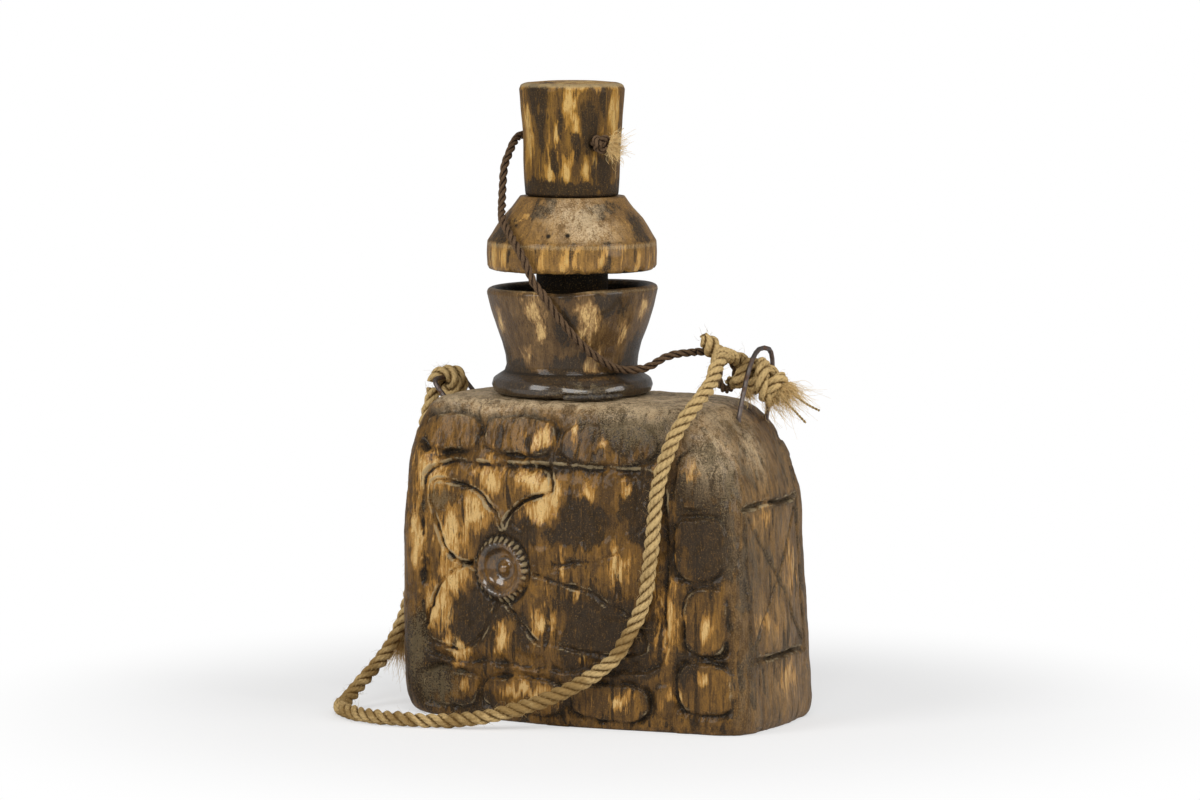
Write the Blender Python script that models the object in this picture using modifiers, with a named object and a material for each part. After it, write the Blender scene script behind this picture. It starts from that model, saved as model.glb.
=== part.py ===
"""Hand-carved wooden flask with a corded stopper.

A hollow block with big rounded shoulders, carved in low relief, carries a turned neck cup that is
plugged into its mouth and sealed with resin. The stopper is a peg with a loose collar on its stem.
A laid rope hangs between two iron staples, and a thin braided tether holds the stopper to the rope.

Metres, +Z up. The origin is on the resting face, under the middle of the block. The carved front
faces -Y, and the neck stands left of the middle, towards -X.
"""

import math

import bmesh
import bpy
from mathutils import Matrix, Vector
from mathutils.bvhtree import BVHTree
from mathutils.geometry import intersect_point_line

# Driving sizes of the block
BODY_HEIGHT = 0.1425
BODY_HALF_WIDTH = 0.0850
BODY_HALF_DEPTH = 0.0430
WALL_BULGE = 0.0065
CORNER_RADIUS = 0.0160
SHOULDER_DROP = 0.0500
SHOULDER_INSET_LEFT = 0.0150
SHOULDER_INSET_RIGHT = 0.0320
SHOULDER_INSET_DEPTH = 0.0130
TOP_FLAT_SHARE = 0.06
TAPER_START = 0.0500
TAPER_INSET = 0.0030
RIGHT_FLARE = 0.0036
RIGHT_LEAN_INSET = 0.0090
FOOT_HEIGHT = 0.0100
FOOT_INSET = 0.0035
LEFT_TUCK_HEIGHT = 0.0300
LEFT_TUCK_INSET = 0.0050
WALL = 0.0130
FLOOR = 0.0150
ROOF = 0.0150

# Neck cup, measured from the top of the block
NECK_OFFSET = -0.0160
RING_RADIUS = 0.0360
RING_HEIGHT = 0.0085
WAIST_RADIUS = 0.0293
WAIST_RISE = 0.0110
RIM_RADIUS = 0.0382
RIM_RISE = 0.0486
RIM_EDGE = 0.0020
FUNNEL_RADIUS = 0.0335
FUNNEL_DEPTH = 0.0210
SPIGOT_RADIUS = 0.0200
SPIGOT_DEPTH = 0.0175
BORE_TOP_RADIUS = 0.0163
BORE_FOOT_RADIUS = 0.0140
CUP_SIDE_SHARES = ((0.78, 0.745), (0.45, 0.505), (0.19, 0.332), (0.05, 0.186), (0.0, 0.060))
FUNNEL_SHARES = ((0.20, 0.08), (0.55, 0.25), (0.83, 0.55), (1.0, 0.94))

# Stopper, measured from the rim of the neck cup
COLLAR_GAP = 0.0070
COLLAR_RADIUS = 0.0378
COLLAR_BAND = 0.0130
COLLAR_HEIGHT = 0.0328
COLLAR_TOP_RADIUS = 0.0233
COLLAR_EDGE = 0.0025
COLLAR_DISH = 0.0030
CONE_SHARES = ((0.06, 0.975), (0.50, 0.56), (0.80, 0.26), (0.96, 0.06), (1.0, -0.07))
KNOB_FOOT_RADIUS = 0.0206
KNOB_WAIST_RADIUS = 0.0216
KNOB_TOP_RADIUS = 0.0235
KNOB_HEIGHT = 0.0500
KNOB_EDGE = 0.0025
KNOB_CROWN = 0.0010
KNOB_SIDE_SHARES = ((0.98, 0.77), (0.64, 0.50), (0.30, 0.27), (0.05, 0.10))
STEM_DEPTH = 0.0400
STEM_TOP_RADIUS = 0.0160
STEM_TAPER_RISE = 0.0010
STEM_EDGE = 0.0012
CORD_HOLE_RADIUS = 0.0027
CORD_HOLE_RISE = 0.0240
CORD_HOLE_TURN = math.radians(-36.0)

# Iron staples: where each one stands, how high its arch is and which way the arch leans
STAPLE_WIRE_RADIUS = 0.0011
STAPLE_SPAN = 0.0300
STAPLE_SEAT_DEPTH = 0.0090
STAPLE_POINTS = 14
STAPLE_HOLE_SEGMENTS = 10
LEFT_STAPLE_INSET = 0.0105
LEFT_STAPLE_Y = 0.0040
LEFT_STAPLE_RISE = 0.0088
LEFT_BACK_LEAN_SHARE = 0.0
LEFT_SIDE_LEAN_SHARE = -0.72
LEFT_ARCH_ROUND_SHARE = 0.35
RIGHT_STAPLE_INSET = 0.0170
RIGHT_STAPLE_Y = 0.0095
RIGHT_STAPLE_RISE = 0.0310
RIGHT_BACK_LEAN_SHARE = 0.40
RIGHT_SIDE_LEAN_SHARE = 0.0
RIGHT_ARCH_ROUND_SHARE = 0.70

# Ropes, cords, their knots and frayed ends
ROPE_RADIUS = 0.0030
TETHER_RADIUS = 0.00175
CORD_STEP_DIAMETERS = 2.2
COIL_STEPS = 12
WRAP_CLEARANCE = 0.0004
LEFT_WRAP_START = -0.0012
LEFT_WRAP_END = 0.0124
LEFT_WRAP_TURNS = 2.0
RIGHT_KNOT_START = Vector((0.0580, 0.0130, 0.1558))
RIGHT_KNOT_END = Vector((0.0790, 0.0138, 0.1478))
RIGHT_KNOT_RADIUS = 0.0046
RIGHT_KNOT_TURNS = -3.0
STOP_KNOT_RADIUS = 0.0044
STOP_KNOT_STAND_OFF = 0.0012
STOP_KNOT_SEGMENTS = 14
STOP_KNOT_RINGS = 9
FRAY_GAP = 0.0005
FRAY_LENGTH = 0.0090
FRAY_LEAN_SHARES = (0.55, 0.80, -0.25)
STOP_FRAY_RADIUS = 0.0047
RIGHT_FRAY_START = Vector((0.0812, 0.0138, 0.1474))
RIGHT_FRAY_END = Vector((0.0925, 0.0150, 0.1365))
RIGHT_FRAY_RADIUS = 0.0058
TASSEL_END = Vector((-0.1020, -0.0118, 0.0122))
TASSEL_RADIUS = 0.0048
TUFT_SHARES = ((0.0, 0.50), (0.12, 0.62), (0.45, 0.86), (0.75, 1.0), (0.93, 0.88), (1.0, 0.60))

# Bead of resin along the front of the foot ring
SEAL_RADIUS = 0.0015
SEAL_POINTS = 9
SEAL_START_DEGREES = -70.0
SEAL_SWEEP_DEGREES = 42.0
SEAL_END_SHARE = 0.4

# Carving
GROOVE_RADIUS = 0.0017
GROOVE_DEPTH = 0.0012
FINE_GROOVE_RADIUS = 0.0012
FINE_GROOVE_DEPTH = 0.0008
MEDALLION_RADIUS = 0.0105
MEDALLION_RIM_RADIUS = 0.0138
MEDALLION_X = -0.0295
MEDALLION_Z = 0.0690
MEDALLION_POINTS = 18
COBBLE_SQUARENESS_SHARE = 0.62
COBBLE_POINTS = 12
PANEL_SQUARENESS_SHARE = 0.3
PANEL_POINTS = 28
SIDE_SQUARENESS_SHARE = 0.2
SIDE_POINTS = 24
CROSS_POINTS = 6
WING_STEP = 0.0085
OVAL_START_SHARE = 0.5

# Fits
FIT = 0.0003
OVERRUN = 0.0200
MERGE = 0.00001

# Fineness. A grid is the count of rows, and of columns along a broad wall, an end wall and a corner
OUTER_GRID = (22, 16, 8, 4)
HOLLOW_GRID = (10, 6, 4, 3)
ROW_CROWDING_SHARE = 0.11
TURNED_STEPS = 36
CURVE_STEPS = 8
MILLIMETRES = 1000.0

BODY_TOP = BODY_HEIGHT
RIM_Z = BODY_TOP + RIM_RISE
COLLAR_FOOT_Z = RIM_Z + COLLAR_GAP
COLLAR_TOP_Z = COLLAR_FOOT_Z + COLLAR_HEIGHT
KNOB_FOOT_Z = COLLAR_TOP_Z + FIT
KNOB_TOP_Z = KNOB_FOOT_Z + KNOB_HEIGHT
NECK_AXIS = Vector((NECK_OFFSET, 0.0, 0.0))

# The carved outlines as shares of the block's half width and height: left, right, foot and top
COBBLE_SHARES = {
    "top_1": (-0.82, -0.49, 0.84, 0.945),
    "top_2": (-0.44, -0.03, 0.84, 0.950),
    "top_3": (0.02, 0.53, 0.82, 0.945),
    "right_1": (0.64, 0.90, 0.70, 0.860),
    "right_2": (0.64, 0.91, 0.475, 0.665),
    "right_3": (0.71, 0.92, 0.25, 0.445),
    "right_4": (0.70, 0.94, 0.08, 0.225),
    "bottom_1": (-0.80, -0.48, 0.04, 0.145),
    "bottom_2": (-0.44, 0.03, 0.035, 0.145),
    "bottom_3": (0.08, 0.51, 0.035, 0.145),
    "bottom_4": (0.55, 0.66, 0.045, 0.145),
    "left_1": (-0.95, -0.86, 0.18, 0.360),
    "left_2": (-0.95, -0.86, 0.40, 0.590),
    "left_3": (-0.94, -0.86, 0.63, 0.790),
}
PANEL_SHARES = (-0.825, 0.60, 0.178, 0.805)
WING_SHARES = {
    "upper_left": ((-0.36, 0.60), (-0.40, 0.68), (-0.49, 0.715), (-0.63, 0.735), (-0.80, 0.735),
                   (-0.80, 0.60), (-0.70, 0.50), (-0.52, 0.46)),
    "upper_right": ((-0.33, 0.60), (-0.20, 0.67), (-0.03, 0.722), (0.24, 0.74), (0.50, 0.72),
                    (0.50, 0.65), (0.40, 0.60), (0.22, 0.54), (-0.16, 0.49)),
    "lower_left": ((-0.51, 0.47), (-0.64, 0.44), (-0.79, 0.31), (-0.82, 0.245), (-0.61, 0.21),
                   (-0.46, 0.265), (-0.38, 0.37)),
    "lower_right": ((-0.34, 0.37), (-0.17, 0.28), (-0.03, 0.255), (0.25, 0.23), (0.48, 0.25),
                    (0.42, 0.34), (0.18, 0.42), (-0.17, 0.47)),
}

# The same for an end wall, as shares of the block's half depth and height
SIDE_PANEL_SHARES = (-0.72, 0.56, 0.225, 0.695)
SIDE_CROSS_SHARES = (((-0.64, 0.665), (0.47, 0.26)), ((0.47, 0.66), (-0.64, 0.26)))

# Routes of the ropes and cords, read off the way that they hang
ROPE_ROUTE = (
    (0.0588, 0.0117, 0.1597), (0.0586, 0.0040, 0.1620), (0.0600, -0.0060, 0.1630),
    (0.0618, -0.0150, 0.1588), (0.0631, -0.0240, 0.1522), (0.0617, -0.0368, 0.1440),
    (0.0563, -0.0436, 0.1333), (0.0518, -0.0466, 0.1207), (0.0480, -0.0476, 0.1054),
    (0.0466, -0.0478, 0.0896), (0.0448, -0.0480, 0.0738), (0.0425, -0.0484, 0.0583),
    (0.0367, -0.0492, 0.0454), (0.0287, -0.0507, 0.0323), (0.0171, -0.0545, 0.0228),
    (0.0020, -0.0592, 0.0146), (-0.0126, -0.0650, 0.0091), (-0.0277, -0.0695, 0.0052),
    (-0.0430, -0.0730, 0.0034), (-0.0584, -0.0765, 0.0034), (-0.0770, -0.0755, 0.0034),
    (-0.0940, -0.0675, 0.0034), (-0.1035, -0.0570, 0.0034), (-0.1065, -0.0455, 0.0046),
    (-0.1048, -0.0350, 0.0112), (-0.1010, -0.0268, 0.0187), (-0.0970, -0.0205, 0.0270),
    (-0.0934, -0.0150, 0.0390), (-0.0914, -0.0118, 0.0510), (-0.0906, -0.0106, 0.0650),
    (-0.0903, -0.0106, 0.0850), (-0.0886, -0.0110, 0.1050), (-0.0868, -0.0105, 0.1170),
    (-0.0856, -0.0078, 0.1270), (-0.0854, -0.0040, 0.1350), (-0.0854, -0.0010, 0.1418),
)
TAIL_ROUTE = (
    (-0.0853, 0.0188, 0.1456), (-0.0864, 0.0184, 0.1350), (-0.0884, 0.0160, 0.1200),
    (-0.0903, 0.0115, 0.1020), (-0.0912, 0.0060, 0.0820), (-0.0914, 0.0005, 0.0630),
    (-0.0918, -0.0042, 0.0480), (-0.0938, -0.0078, 0.0370), (-0.0975, -0.0096, 0.0270),
)
TETHER_ROUTE = (
    (0.0012, -0.0125, 0.2553), (-0.0070, -0.0065, 0.2553), (-0.0160, 0.0000, 0.2553),
    (-0.0260, 0.0073, 0.2553), (-0.0352, 0.0140, 0.2554), (-0.0400, 0.0157, 0.2562),
    (-0.0441, 0.0108, 0.2572), (-0.0438, 0.0020, 0.2566), (-0.0430, -0.0050, 0.2534),
    (-0.0432, -0.0100, 0.2477), (-0.0430, -0.0135, 0.2430), (-0.0422, -0.0165, 0.2355),
    (-0.0400, -0.0218, 0.2268), (-0.0358, -0.0295, 0.2212), (-0.0303, -0.0352, 0.2168),
    (-0.0222, -0.0412, 0.2093), (-0.0178, -0.0412, 0.2013), (-0.0147, -0.0412, 0.1950),
    (-0.0102, -0.0408, 0.1895), (-0.0071, -0.0387, 0.1838), (-0.0028, -0.0353, 0.1763),
    (0.0017, -0.0305, 0.1692), (0.0057, -0.0257, 0.1636), (0.0108, -0.0188, 0.1580),
    (0.0146, -0.0115, 0.1552), (0.0205, -0.0065, 0.1554), (0.0250, -0.0045, 0.1570),
    (0.0302, -0.0022, 0.1604), (0.0350, 0.0022, 0.1620), (0.0406, 0.0076, 0.1625),
)
STUB_ROUTE = (
    (0.0530, 0.0122, 0.1570), (0.0507, 0.0099, 0.1613), (0.0484, 0.0076, 0.1656), (0.0460, 0.0050, 0.1705),
)
HITCH_ROUTE = (
    (0.0411, 0.0081, 0.1626), (0.0443, 0.0114, 0.1627), (0.0478, 0.0149, 0.1623),
    (0.0512, 0.0181, 0.1605), (0.0534, 0.0207, 0.1570), (0.0543, 0.0217, 0.1530),
    (0.0545, 0.0197, 0.1490), (0.0545, 0.0150, 0.1465), (0.0544, 0.0098, 0.1465),
    (0.0541, 0.0057, 0.1487), (0.0539, 0.0039, 0.1520), (0.0541, 0.0044, 0.1552),
)

# The block's half width that the routes were read for, and how far from its middle they start to follow it
ROUTED_HALF_WIDTH = 0.0850
ROUTE_MIDDLE_REACH = 0.0350


def clear_scene():
    for item in list(bpy.data.objects):
        bpy.data.objects.remove(item, do_unlink=True)


def new_collection(name):
    collection = bpy.data.collections.new(name)
    bpy.context.scene.collection.children.link(collection)
    return collection


clear_scene()
PARTS = new_collection("carved_flask")
CUTTERS = new_collection("cutters")
CARVING = new_collection("carving_cutters")


def new_material(name, colour, roughness, metallic=0.0):
    material = bpy.data.materials.new(name)
    material.use_nodes = True
    shader = material.node_tree.nodes["Principled BSDF"]
    shader.inputs["Base Color"].default_value = (*colour, 1.0)
    shader.inputs["Roughness"].default_value = roughness
    shader.inputs["Metallic"].default_value = metallic
    material.diffuse_color = (*colour, 1.0)
    return material


CARVED_WOOD = new_material("carved_wood", (0.23, 0.125, 0.042), 0.38)
NECK_WOOD = new_material("neck_wood", (0.20, 0.115, 0.045), 0.36)
STOPPER_WOOD = new_material("stopper_wood", (0.28, 0.16, 0.055), 0.40)
COLLAR_WOOD = new_material("collar_wood", (0.24, 0.15, 0.07), 0.36)
RESIN = new_material("resin", (0.06, 0.04, 0.022), 0.55)
IRON = new_material("iron", (0.075, 0.058, 0.048), 0.50, 0.85)
ROPE_FIBRE = new_material("rope_fibre", (0.42, 0.29, 0.13), 0.90)
DARK_CORD = new_material("dark_cord", (0.075, 0.045, 0.025), 0.70)
PALE_FRAY = new_material("pale_fray", (0.55, 0.40, 0.20), 0.95)


def add_part(name, data, material):
    part = bpy.data.objects.new(name, data)
    PARTS.objects.link(part)
    data.materials.append(material)
    return part


def add_cutter(name, mesh, collection=CUTTERS):
    cutter = bpy.data.objects.new(name, mesh)
    collection.objects.link(cutter)
    cutter.hide_render = True
    cutter.display_type = "WIRE"
    return cutter


def hang_on(parent, child):
    """Parent a piece and leave it where it is."""
    child.parent = parent
    child.matrix_parent_inverse = Matrix.Translation(-parent.location)


def shade_round(mesh, sharp_degrees=35.0):
    mesh.shade_smooth()
    mesh.set_sharp_from_angle(angle=math.radians(sharp_degrees))


def new_boolean(part, name):
    boolean = part.modifiers.new(name, "BOOLEAN")
    boolean.operation = "DIFFERENCE"
    boolean.solver = "EXACT"
    return boolean


def cut(part, cutter):
    new_boolean(part, cutter.name).object = cutter


def evaluated_mesh(item):
    graph = bpy.context.evaluated_depsgraph_get()
    return bpy.data.meshes.new_from_object(item.evaluated_get(graph))


def turned(name, profile, material):
    """A profile of (radius, height) pairs, outer side from top to bottom, turned about the neck's axis."""
    mesh = bpy.data.meshes.new(name)
    count = len(profile)
    edges = [(i, (i + 1) % count) for i in range(count)]
    has_bore = all(radius > 0.0 for radius, _ in profile)
    if not has_bore:
        edges.pop()
    mesh.from_pydata([(radius, 0.0, height) for radius, height in profile], edges, [])
    part = add_part(name, mesh, material)
    part.location = NECK_AXIS
    screw = part.modifiers.new("turn", "SCREW")
    screw.axis = "Z"
    screw.steps = TURNED_STEPS
    screw.render_steps = TURNED_STEPS
    screw.use_merge_vertices = True
    screw.merge_threshold = MERGE
    screw.use_smooth_shade = True
    return part


def arc(centre, radius, start_degrees, end_degrees, steps):
    """Points of (radius, height) on an arc, both ends included."""
    points = []
    for i in range(steps + 1):
        angle = math.radians(start_degrees + (end_degrees - start_degrees) * i / steps)
        points.append((centre[0] + radius * math.cos(angle), centre[1] + radius * math.sin(angle)))
    return points


def curve_point(a, b, c, d, t):
    """A place between b and c on the smooth curve through four points."""
    bend = (c - a) * t + (a * 2 - b * 5 + c * 4 - d) * t ** 2 + (b * 3 - a - c * 3 + d) * t ** 3
    return b + bend / 2


def smooth_points(route, step):
    """Points about a step apart on a smooth curve through a route's own points."""
    places = [Vector(p) for p in route]
    last = len(places) - 1
    fine = []
    for i in range(last):
        a, b, c, d = (places[min(max(i + k, 0), last)] for k in (-1, 0, 1, 2))
        fine += [curve_point(a, b, c, d, k / CURVE_STEPS) for k in range(CURVE_STEPS)]
    fine.append(places[-1])
    lengths = [0.0]
    for a, b in zip(fine, fine[1:]):
        lengths.append(lengths[-1] + (b - a).length)
    pieces = max(2, round(lengths[-1] / step))
    points = []
    for k in range(pieces):
        target = lengths[-1] * k / pieces
        i = max(j for j in range(len(fine) - 1) if lengths[j] <= target)
        points.append(fine[i].lerp(fine[i + 1], (target - lengths[i]) / (lengths[i + 1] - lengths[i])))
    points.append(places[-1])
    return points


def follow_width(route, left_share=-1.0):
    """Carry a route's ends out with the block's end walls, and leave its middle where it is."""
    growth = BODY_HALF_WIDTH - ROUTED_HALF_WIDTH
    moved = []
    for x, y, z in route:
        share = min(max(x / ROUTE_MIDDLE_REACH, left_share), 1.0)
        moved.append(Vector((x + growth * share, y, z)))
    return moved


def new_curve(name, points, radius, resolution=2, closed=False, width_shares=None):
    curve = bpy.data.curves.new(name, "CURVE")
    curve.dimensions = "3D"
    curve.bevel_depth = radius
    curve.bevel_resolution = resolution
    curve.use_fill_caps = True
    spline = curve.splines.new("POLY")
    spline.points.add(len(points) - 1)
    for place, point, share in zip(spline.points, points, width_shares or [1.0] * len(points)):
        place.co = (*point, 1.0)
        place.radius = share
    spline.use_cyclic_u = closed
    return curve


def add_wire(name, points, radius, material, resolution=2, width_shares=None):
    return add_part(name, new_curve(name, points, radius, resolution, width_shares=width_shares), material)


def tube_mesh(name, points, radius, resolution, closed=False):
    """A tube along the points as a closed mesh, for cutting."""
    curve = new_curve(name, points, radius, resolution, closed)
    guide = bpy.data.objects.new(name + "_guide", curve)
    CUTTERS.objects.link(guide)
    bpy.context.view_layer.update()
    mesh = evaluated_mesh(guide)
    bpy.data.objects.remove(guide)
    bpy.data.curves.remove(curve)
    work = bmesh.new()
    work.from_mesh(mesh)
    bmesh.ops.remove_doubles(work, verts=work.verts, dist=MERGE)
    bmesh.ops.recalc_face_normals(work, faces=work.faces)
    work.to_mesh(mesh)
    work.free()
    mesh.shade_smooth()
    return mesh


def upright_cylinder(name, centre, radius, low, high, segments):
    work = bmesh.new()
    place = Matrix.Translation((centre.x, centre.y, (low + high) / 2.0))
    bmesh.ops.create_cone(
        work,
        cap_ends=True,
        segments=segments,
        radius1=radius,
        radius2=radius,
        depth=high - low,
        matrix=place,
    )
    mesh = bpy.data.meshes.new(name)
    work.to_mesh(mesh)
    work.free()
    mesh.shade_smooth()
    return mesh


# The block: a loft of rounded rectangles whose four walls bulge


def shoulder_share(z):
    """How much of the shoulders' inset the block has at a height, from 0 to 1."""
    rise_share = min(max((z - (BODY_TOP - SHOULDER_DROP)) / SHOULDER_DROP, 0.0), 1.0)
    return 1.0 - math.sqrt(1.0 - rise_share ** 2 * (1.0 - TOP_FLAT_SHARE))


def foot_share(z, height):
    """How much of a rounded lower edge's inset the block has at a height, from 0 to 1."""
    drop_share = min(max((height - z) / height, 0.0), 1.0)
    return 1.0 - math.sqrt(1.0 - drop_share ** 2)


def wall_insets(z):
    """Inset of the left, right and front or back wall from the widest outline at a height."""
    taper = TAPER_INSET * max((z - TAPER_START) / (BODY_TOP - TAPER_START), 0.0) ** 2
    foot = FOOT_INSET * foot_share(z, FOOT_HEIGHT)
    tuck = LEFT_TUCK_INSET * foot_share(z, LEFT_TUCK_HEIGHT)
    lean = RIGHT_LEAN_INSET * z / BODY_TOP - RIGHT_FLARE
    shoulder = shoulder_share(z)
    left = taper + foot + tuck + SHOULDER_INSET_LEFT * shoulder
    right = lean + foot + SHOULDER_INSET_RIGHT * shoulder
    depth = foot + SHOULDER_INSET_DEPTH * shoulder
    return left, right, depth


def bell(share):
    """A smooth bulge of height 1 over shares from -1 to 1."""
    return (1.0 + math.cos(math.pi * share)) / 2.0


def block_outline(left, right, half_depth, corner, columns):
    """One section of the block, anticlockwise from its front left corner."""
    broad, end_wall, corner_steps = columns
    walls = [
        (Vector((corner - left, -half_depth)), Vector((right - corner, -half_depth)), broad),
        (Vector((right, corner - half_depth)), Vector((right, half_depth - corner)), end_wall),
        (Vector((right - corner, half_depth)), Vector((corner - left, half_depth)), broad),
        (Vector((-left, half_depth - corner)), Vector((-left, corner - half_depth)), end_wall),
    ]
    points = []
    for start, end, count in walls:
        along = (end - start).normalized()
        outward = Vector((along.y, -along.x))
        swell = WALL_BULGE * (end - start).length / (2.0 * BODY_HALF_WIDTH)
        for i in range(count + 1):
            share = i / count
            points.append(start.lerp(end, share) + outward * swell * bell(2.0 * share - 1.0))
        centre = end - outward * corner
        for i in range(1, corner_steps):
            turn = math.pi / 2.0 * i / corner_steps
            points.append(centre + (outward * math.cos(turn) + along * math.sin(turn)) * corner)
    return points


def lofted(name, sections):
    """A closed mesh through sections of equal count, each a height and its outline."""
    work = bmesh.new()
    rings = []
    for z, outline in sections:
        rings.append([work.verts.new((p.x, p.y, z)) for p in outline])
    for lower, upper in zip(rings, rings[1:]):
        count = len(lower)
        for i in range(count):
            j = (i + 1) % count
            work.faces.new((lower[i], lower[j], upper[j], upper[i]))
    work.faces.new(list(reversed(rings[0])))
    work.faces.new(rings[-1])
    bmesh.ops.recalc_face_normals(work, faces=work.faces)
    mesh = bpy.data.meshes.new(name)
    work.to_mesh(mesh)
    work.free()
    shade_round(mesh)
    return mesh


def block_mesh(name, wall, low, high, grid):
    """The block's loft, drawn in by a wall, between two heights."""
    rows, *columns = grid
    sections = []
    for i in range(rows + 1):
        share = i / rows
        share -= ROW_CROWDING_SHARE * math.sin(2.0 * math.pi * share)
        left, right, depth = wall_insets(BODY_TOP * share)
        outline = block_outline(
            BODY_HALF_WIDTH - wall - left,
            BODY_HALF_WIDTH - wall - right,
            BODY_HALF_DEPTH - wall - depth,
            CORNER_RADIUS - wall / 2.0,
            columns,
        )
        sections.append((low + (high - low) * share, outline))
    return lofted(name, sections)


BLOCK_MESH = block_mesh("body_shell", 0.0, 0.0, BODY_TOP, OUTER_GRID)
BLOCK_SURFACE = BVHTree.FromPolygons(
    [v.co for v in BLOCK_MESH.vertices],
    [tuple(p.vertices) for p in BLOCK_MESH.polygons],
)


def surface_point(start, direction):
    """Where a line meets the block, and the block's outward direction there."""
    place, normal, _, _ = BLOCK_SURFACE.ray_cast(Vector(start), Vector(direction))
    return place, normal


def on_front(x, z):
    return surface_point((x, -BODY_HALF_WIDTH, z), (0, 1, 0))


def on_back(x, z):
    return surface_point((x, BODY_HALF_WIDTH, z), (0, -1, 0))


def on_right(y, z):
    return surface_point((BODY_HALF_WIDTH + OVERRUN, y, z), (-1, 0, 0))


def on_left(y, z):
    return surface_point((-BODY_HALF_WIDTH - OVERRUN, y, z), (1, 0, 0))


def on_top(x, y):
    return surface_point((x, y, BODY_TOP + OVERRUN), (0, 0, -1))[0]


# The carved relief: grooves along outlines that are laid onto the walls


def oval(left, right, foot, top, squareness_share, count):
    """A rounded outline between four sides: square at a share of 0, and elliptic at 1."""
    points = []
    for i in range(count):
        turn = 2.0 * math.pi * (i + OVAL_START_SHARE) / count
        across = math.copysign(abs(math.cos(turn)) ** squareness_share, math.cos(turn))
        up = math.copysign(abs(math.sin(turn)) ** squareness_share, math.sin(turn))
        points.append(
            (
                (left + right + (right - left) * across) / 2.0,
                (foot + top + (top - foot) * up) / 2.0,
            )
        )
    return points


def groove(name, wall, outline, radius, depth, closed):
    """A gouge along an outline, sunk into the wall by its depth."""
    points = []
    for across, up in outline:
        place, normal = wall(across, up)
        points.append(place + normal * (radius - depth))
    add_cutter(name, tube_mesh(name, points, radius, 1, closed), CARVING)


def scaled(shares, across, up):
    return [(x * across, z * up) for x, z in shares]


def carve_border(face, wall):
    """The border of cobbles and the sunk line of the panel on one broad wall."""
    for name, (left, right, foot, top) in COBBLE_SHARES.items():
        shares = oval(left, right, foot, top, COBBLE_SQUARENESS_SHARE, COBBLE_POINTS)
        outline = scaled(shares, BODY_HALF_WIDTH, BODY_HEIGHT)
        groove(f"{face}_{name}", wall, outline, GROOVE_RADIUS, GROOVE_DEPTH, True)
    shares = oval(*PANEL_SHARES, PANEL_SQUARENESS_SHARE, PANEL_POINTS)
    outline = scaled(shares, BODY_HALF_WIDTH, BODY_HEIGHT)
    groove(f"{face}_panel", wall, outline, GROOVE_RADIUS, GROOVE_DEPTH, True)


def carve_rosette(face, wall):
    """The four wings round the medallion on one broad wall."""
    for name, shares in WING_SHARES.items():
        route = [(x, 0.0, z) for x, z in scaled(shares, BODY_HALF_WIDTH, BODY_HEIGHT)]
        outline = [(p.x, p.z) for p in smooth_points(route, WING_STEP)]
        groove(f"{face}_{name}", wall, outline, FINE_GROOVE_RADIUS, FINE_GROOVE_DEPTH, False)
    for name, radius in (("medallion", MEDALLION_RADIUS), ("medallion_rim", MEDALLION_RIM_RADIUS)):
        outline = oval(
            MEDALLION_X - radius,
            MEDALLION_X + radius,
            MEDALLION_Z - radius,
            MEDALLION_Z + radius,
            1.0,
            MEDALLION_POINTS,
        )
        groove(f"{face}_{name}", wall, outline, FINE_GROOVE_RADIUS, FINE_GROOVE_DEPTH, True)


def carve_side(side, wall):
    """The hourglass panel on one end wall."""
    shares = oval(*SIDE_PANEL_SHARES, SIDE_SQUARENESS_SHARE, SIDE_POINTS)
    outline = scaled(shares, BODY_HALF_DEPTH, BODY_HEIGHT)
    groove(f"{side}_panel", wall, outline, FINE_GROOVE_RADIUS, FINE_GROOVE_DEPTH, True)
    for number, ends in enumerate(SIDE_CROSS_SHARES, 1):
        start, end = (Vector(place) for place in scaled(ends, BODY_HALF_DEPTH, BODY_HEIGHT))
        line = [start.lerp(end, i / CROSS_POINTS) for i in range(CROSS_POINTS + 1)]
        groove(f"{side}_cross_{number}", wall, line, FINE_GROOVE_RADIUS, FINE_GROOVE_DEPTH, False)


def build_body():
    """The hollowed block, with its mouth and its carving."""
    body = add_part("body_shell", BLOCK_MESH, CARVED_WOOD)
    cavity = block_mesh("cavity", WALL, FLOOR, BODY_TOP - ROOF, HOLLOW_GRID)
    cut(body, add_cutter("cavity", cavity))
    mouth = upright_cylinder(
        "mouth",
        NECK_AXIS,
        SPIGOT_RADIUS + FIT,
        BODY_TOP - ROOF - OVERRUN,
        BODY_TOP + OVERRUN,
        TURNED_STEPS,
    )
    cut(body, add_cutter("mouth", mouth))
    carve_border("front", on_front)
    carve_rosette("front", on_front)
    carve_border("back", on_back)
    carve_side("right", on_right)
    carve_side("left", on_left)
    carving = new_boolean(body, "carving")
    carving.operand_type = "COLLECTION"
    carving.collection = CARVING
    return body


# The neck and the stopper


def bore_radius(z):
    """The neck bore's radius at a height between its foot and the funnel."""
    foot, top = BODY_TOP - SPIGOT_DEPTH, RIM_Z - FUNNEL_DEPTH
    return BORE_FOOT_RADIUS + (BORE_TOP_RADIUS - BORE_FOOT_RADIUS) * (z - foot) / (top - foot)


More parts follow.
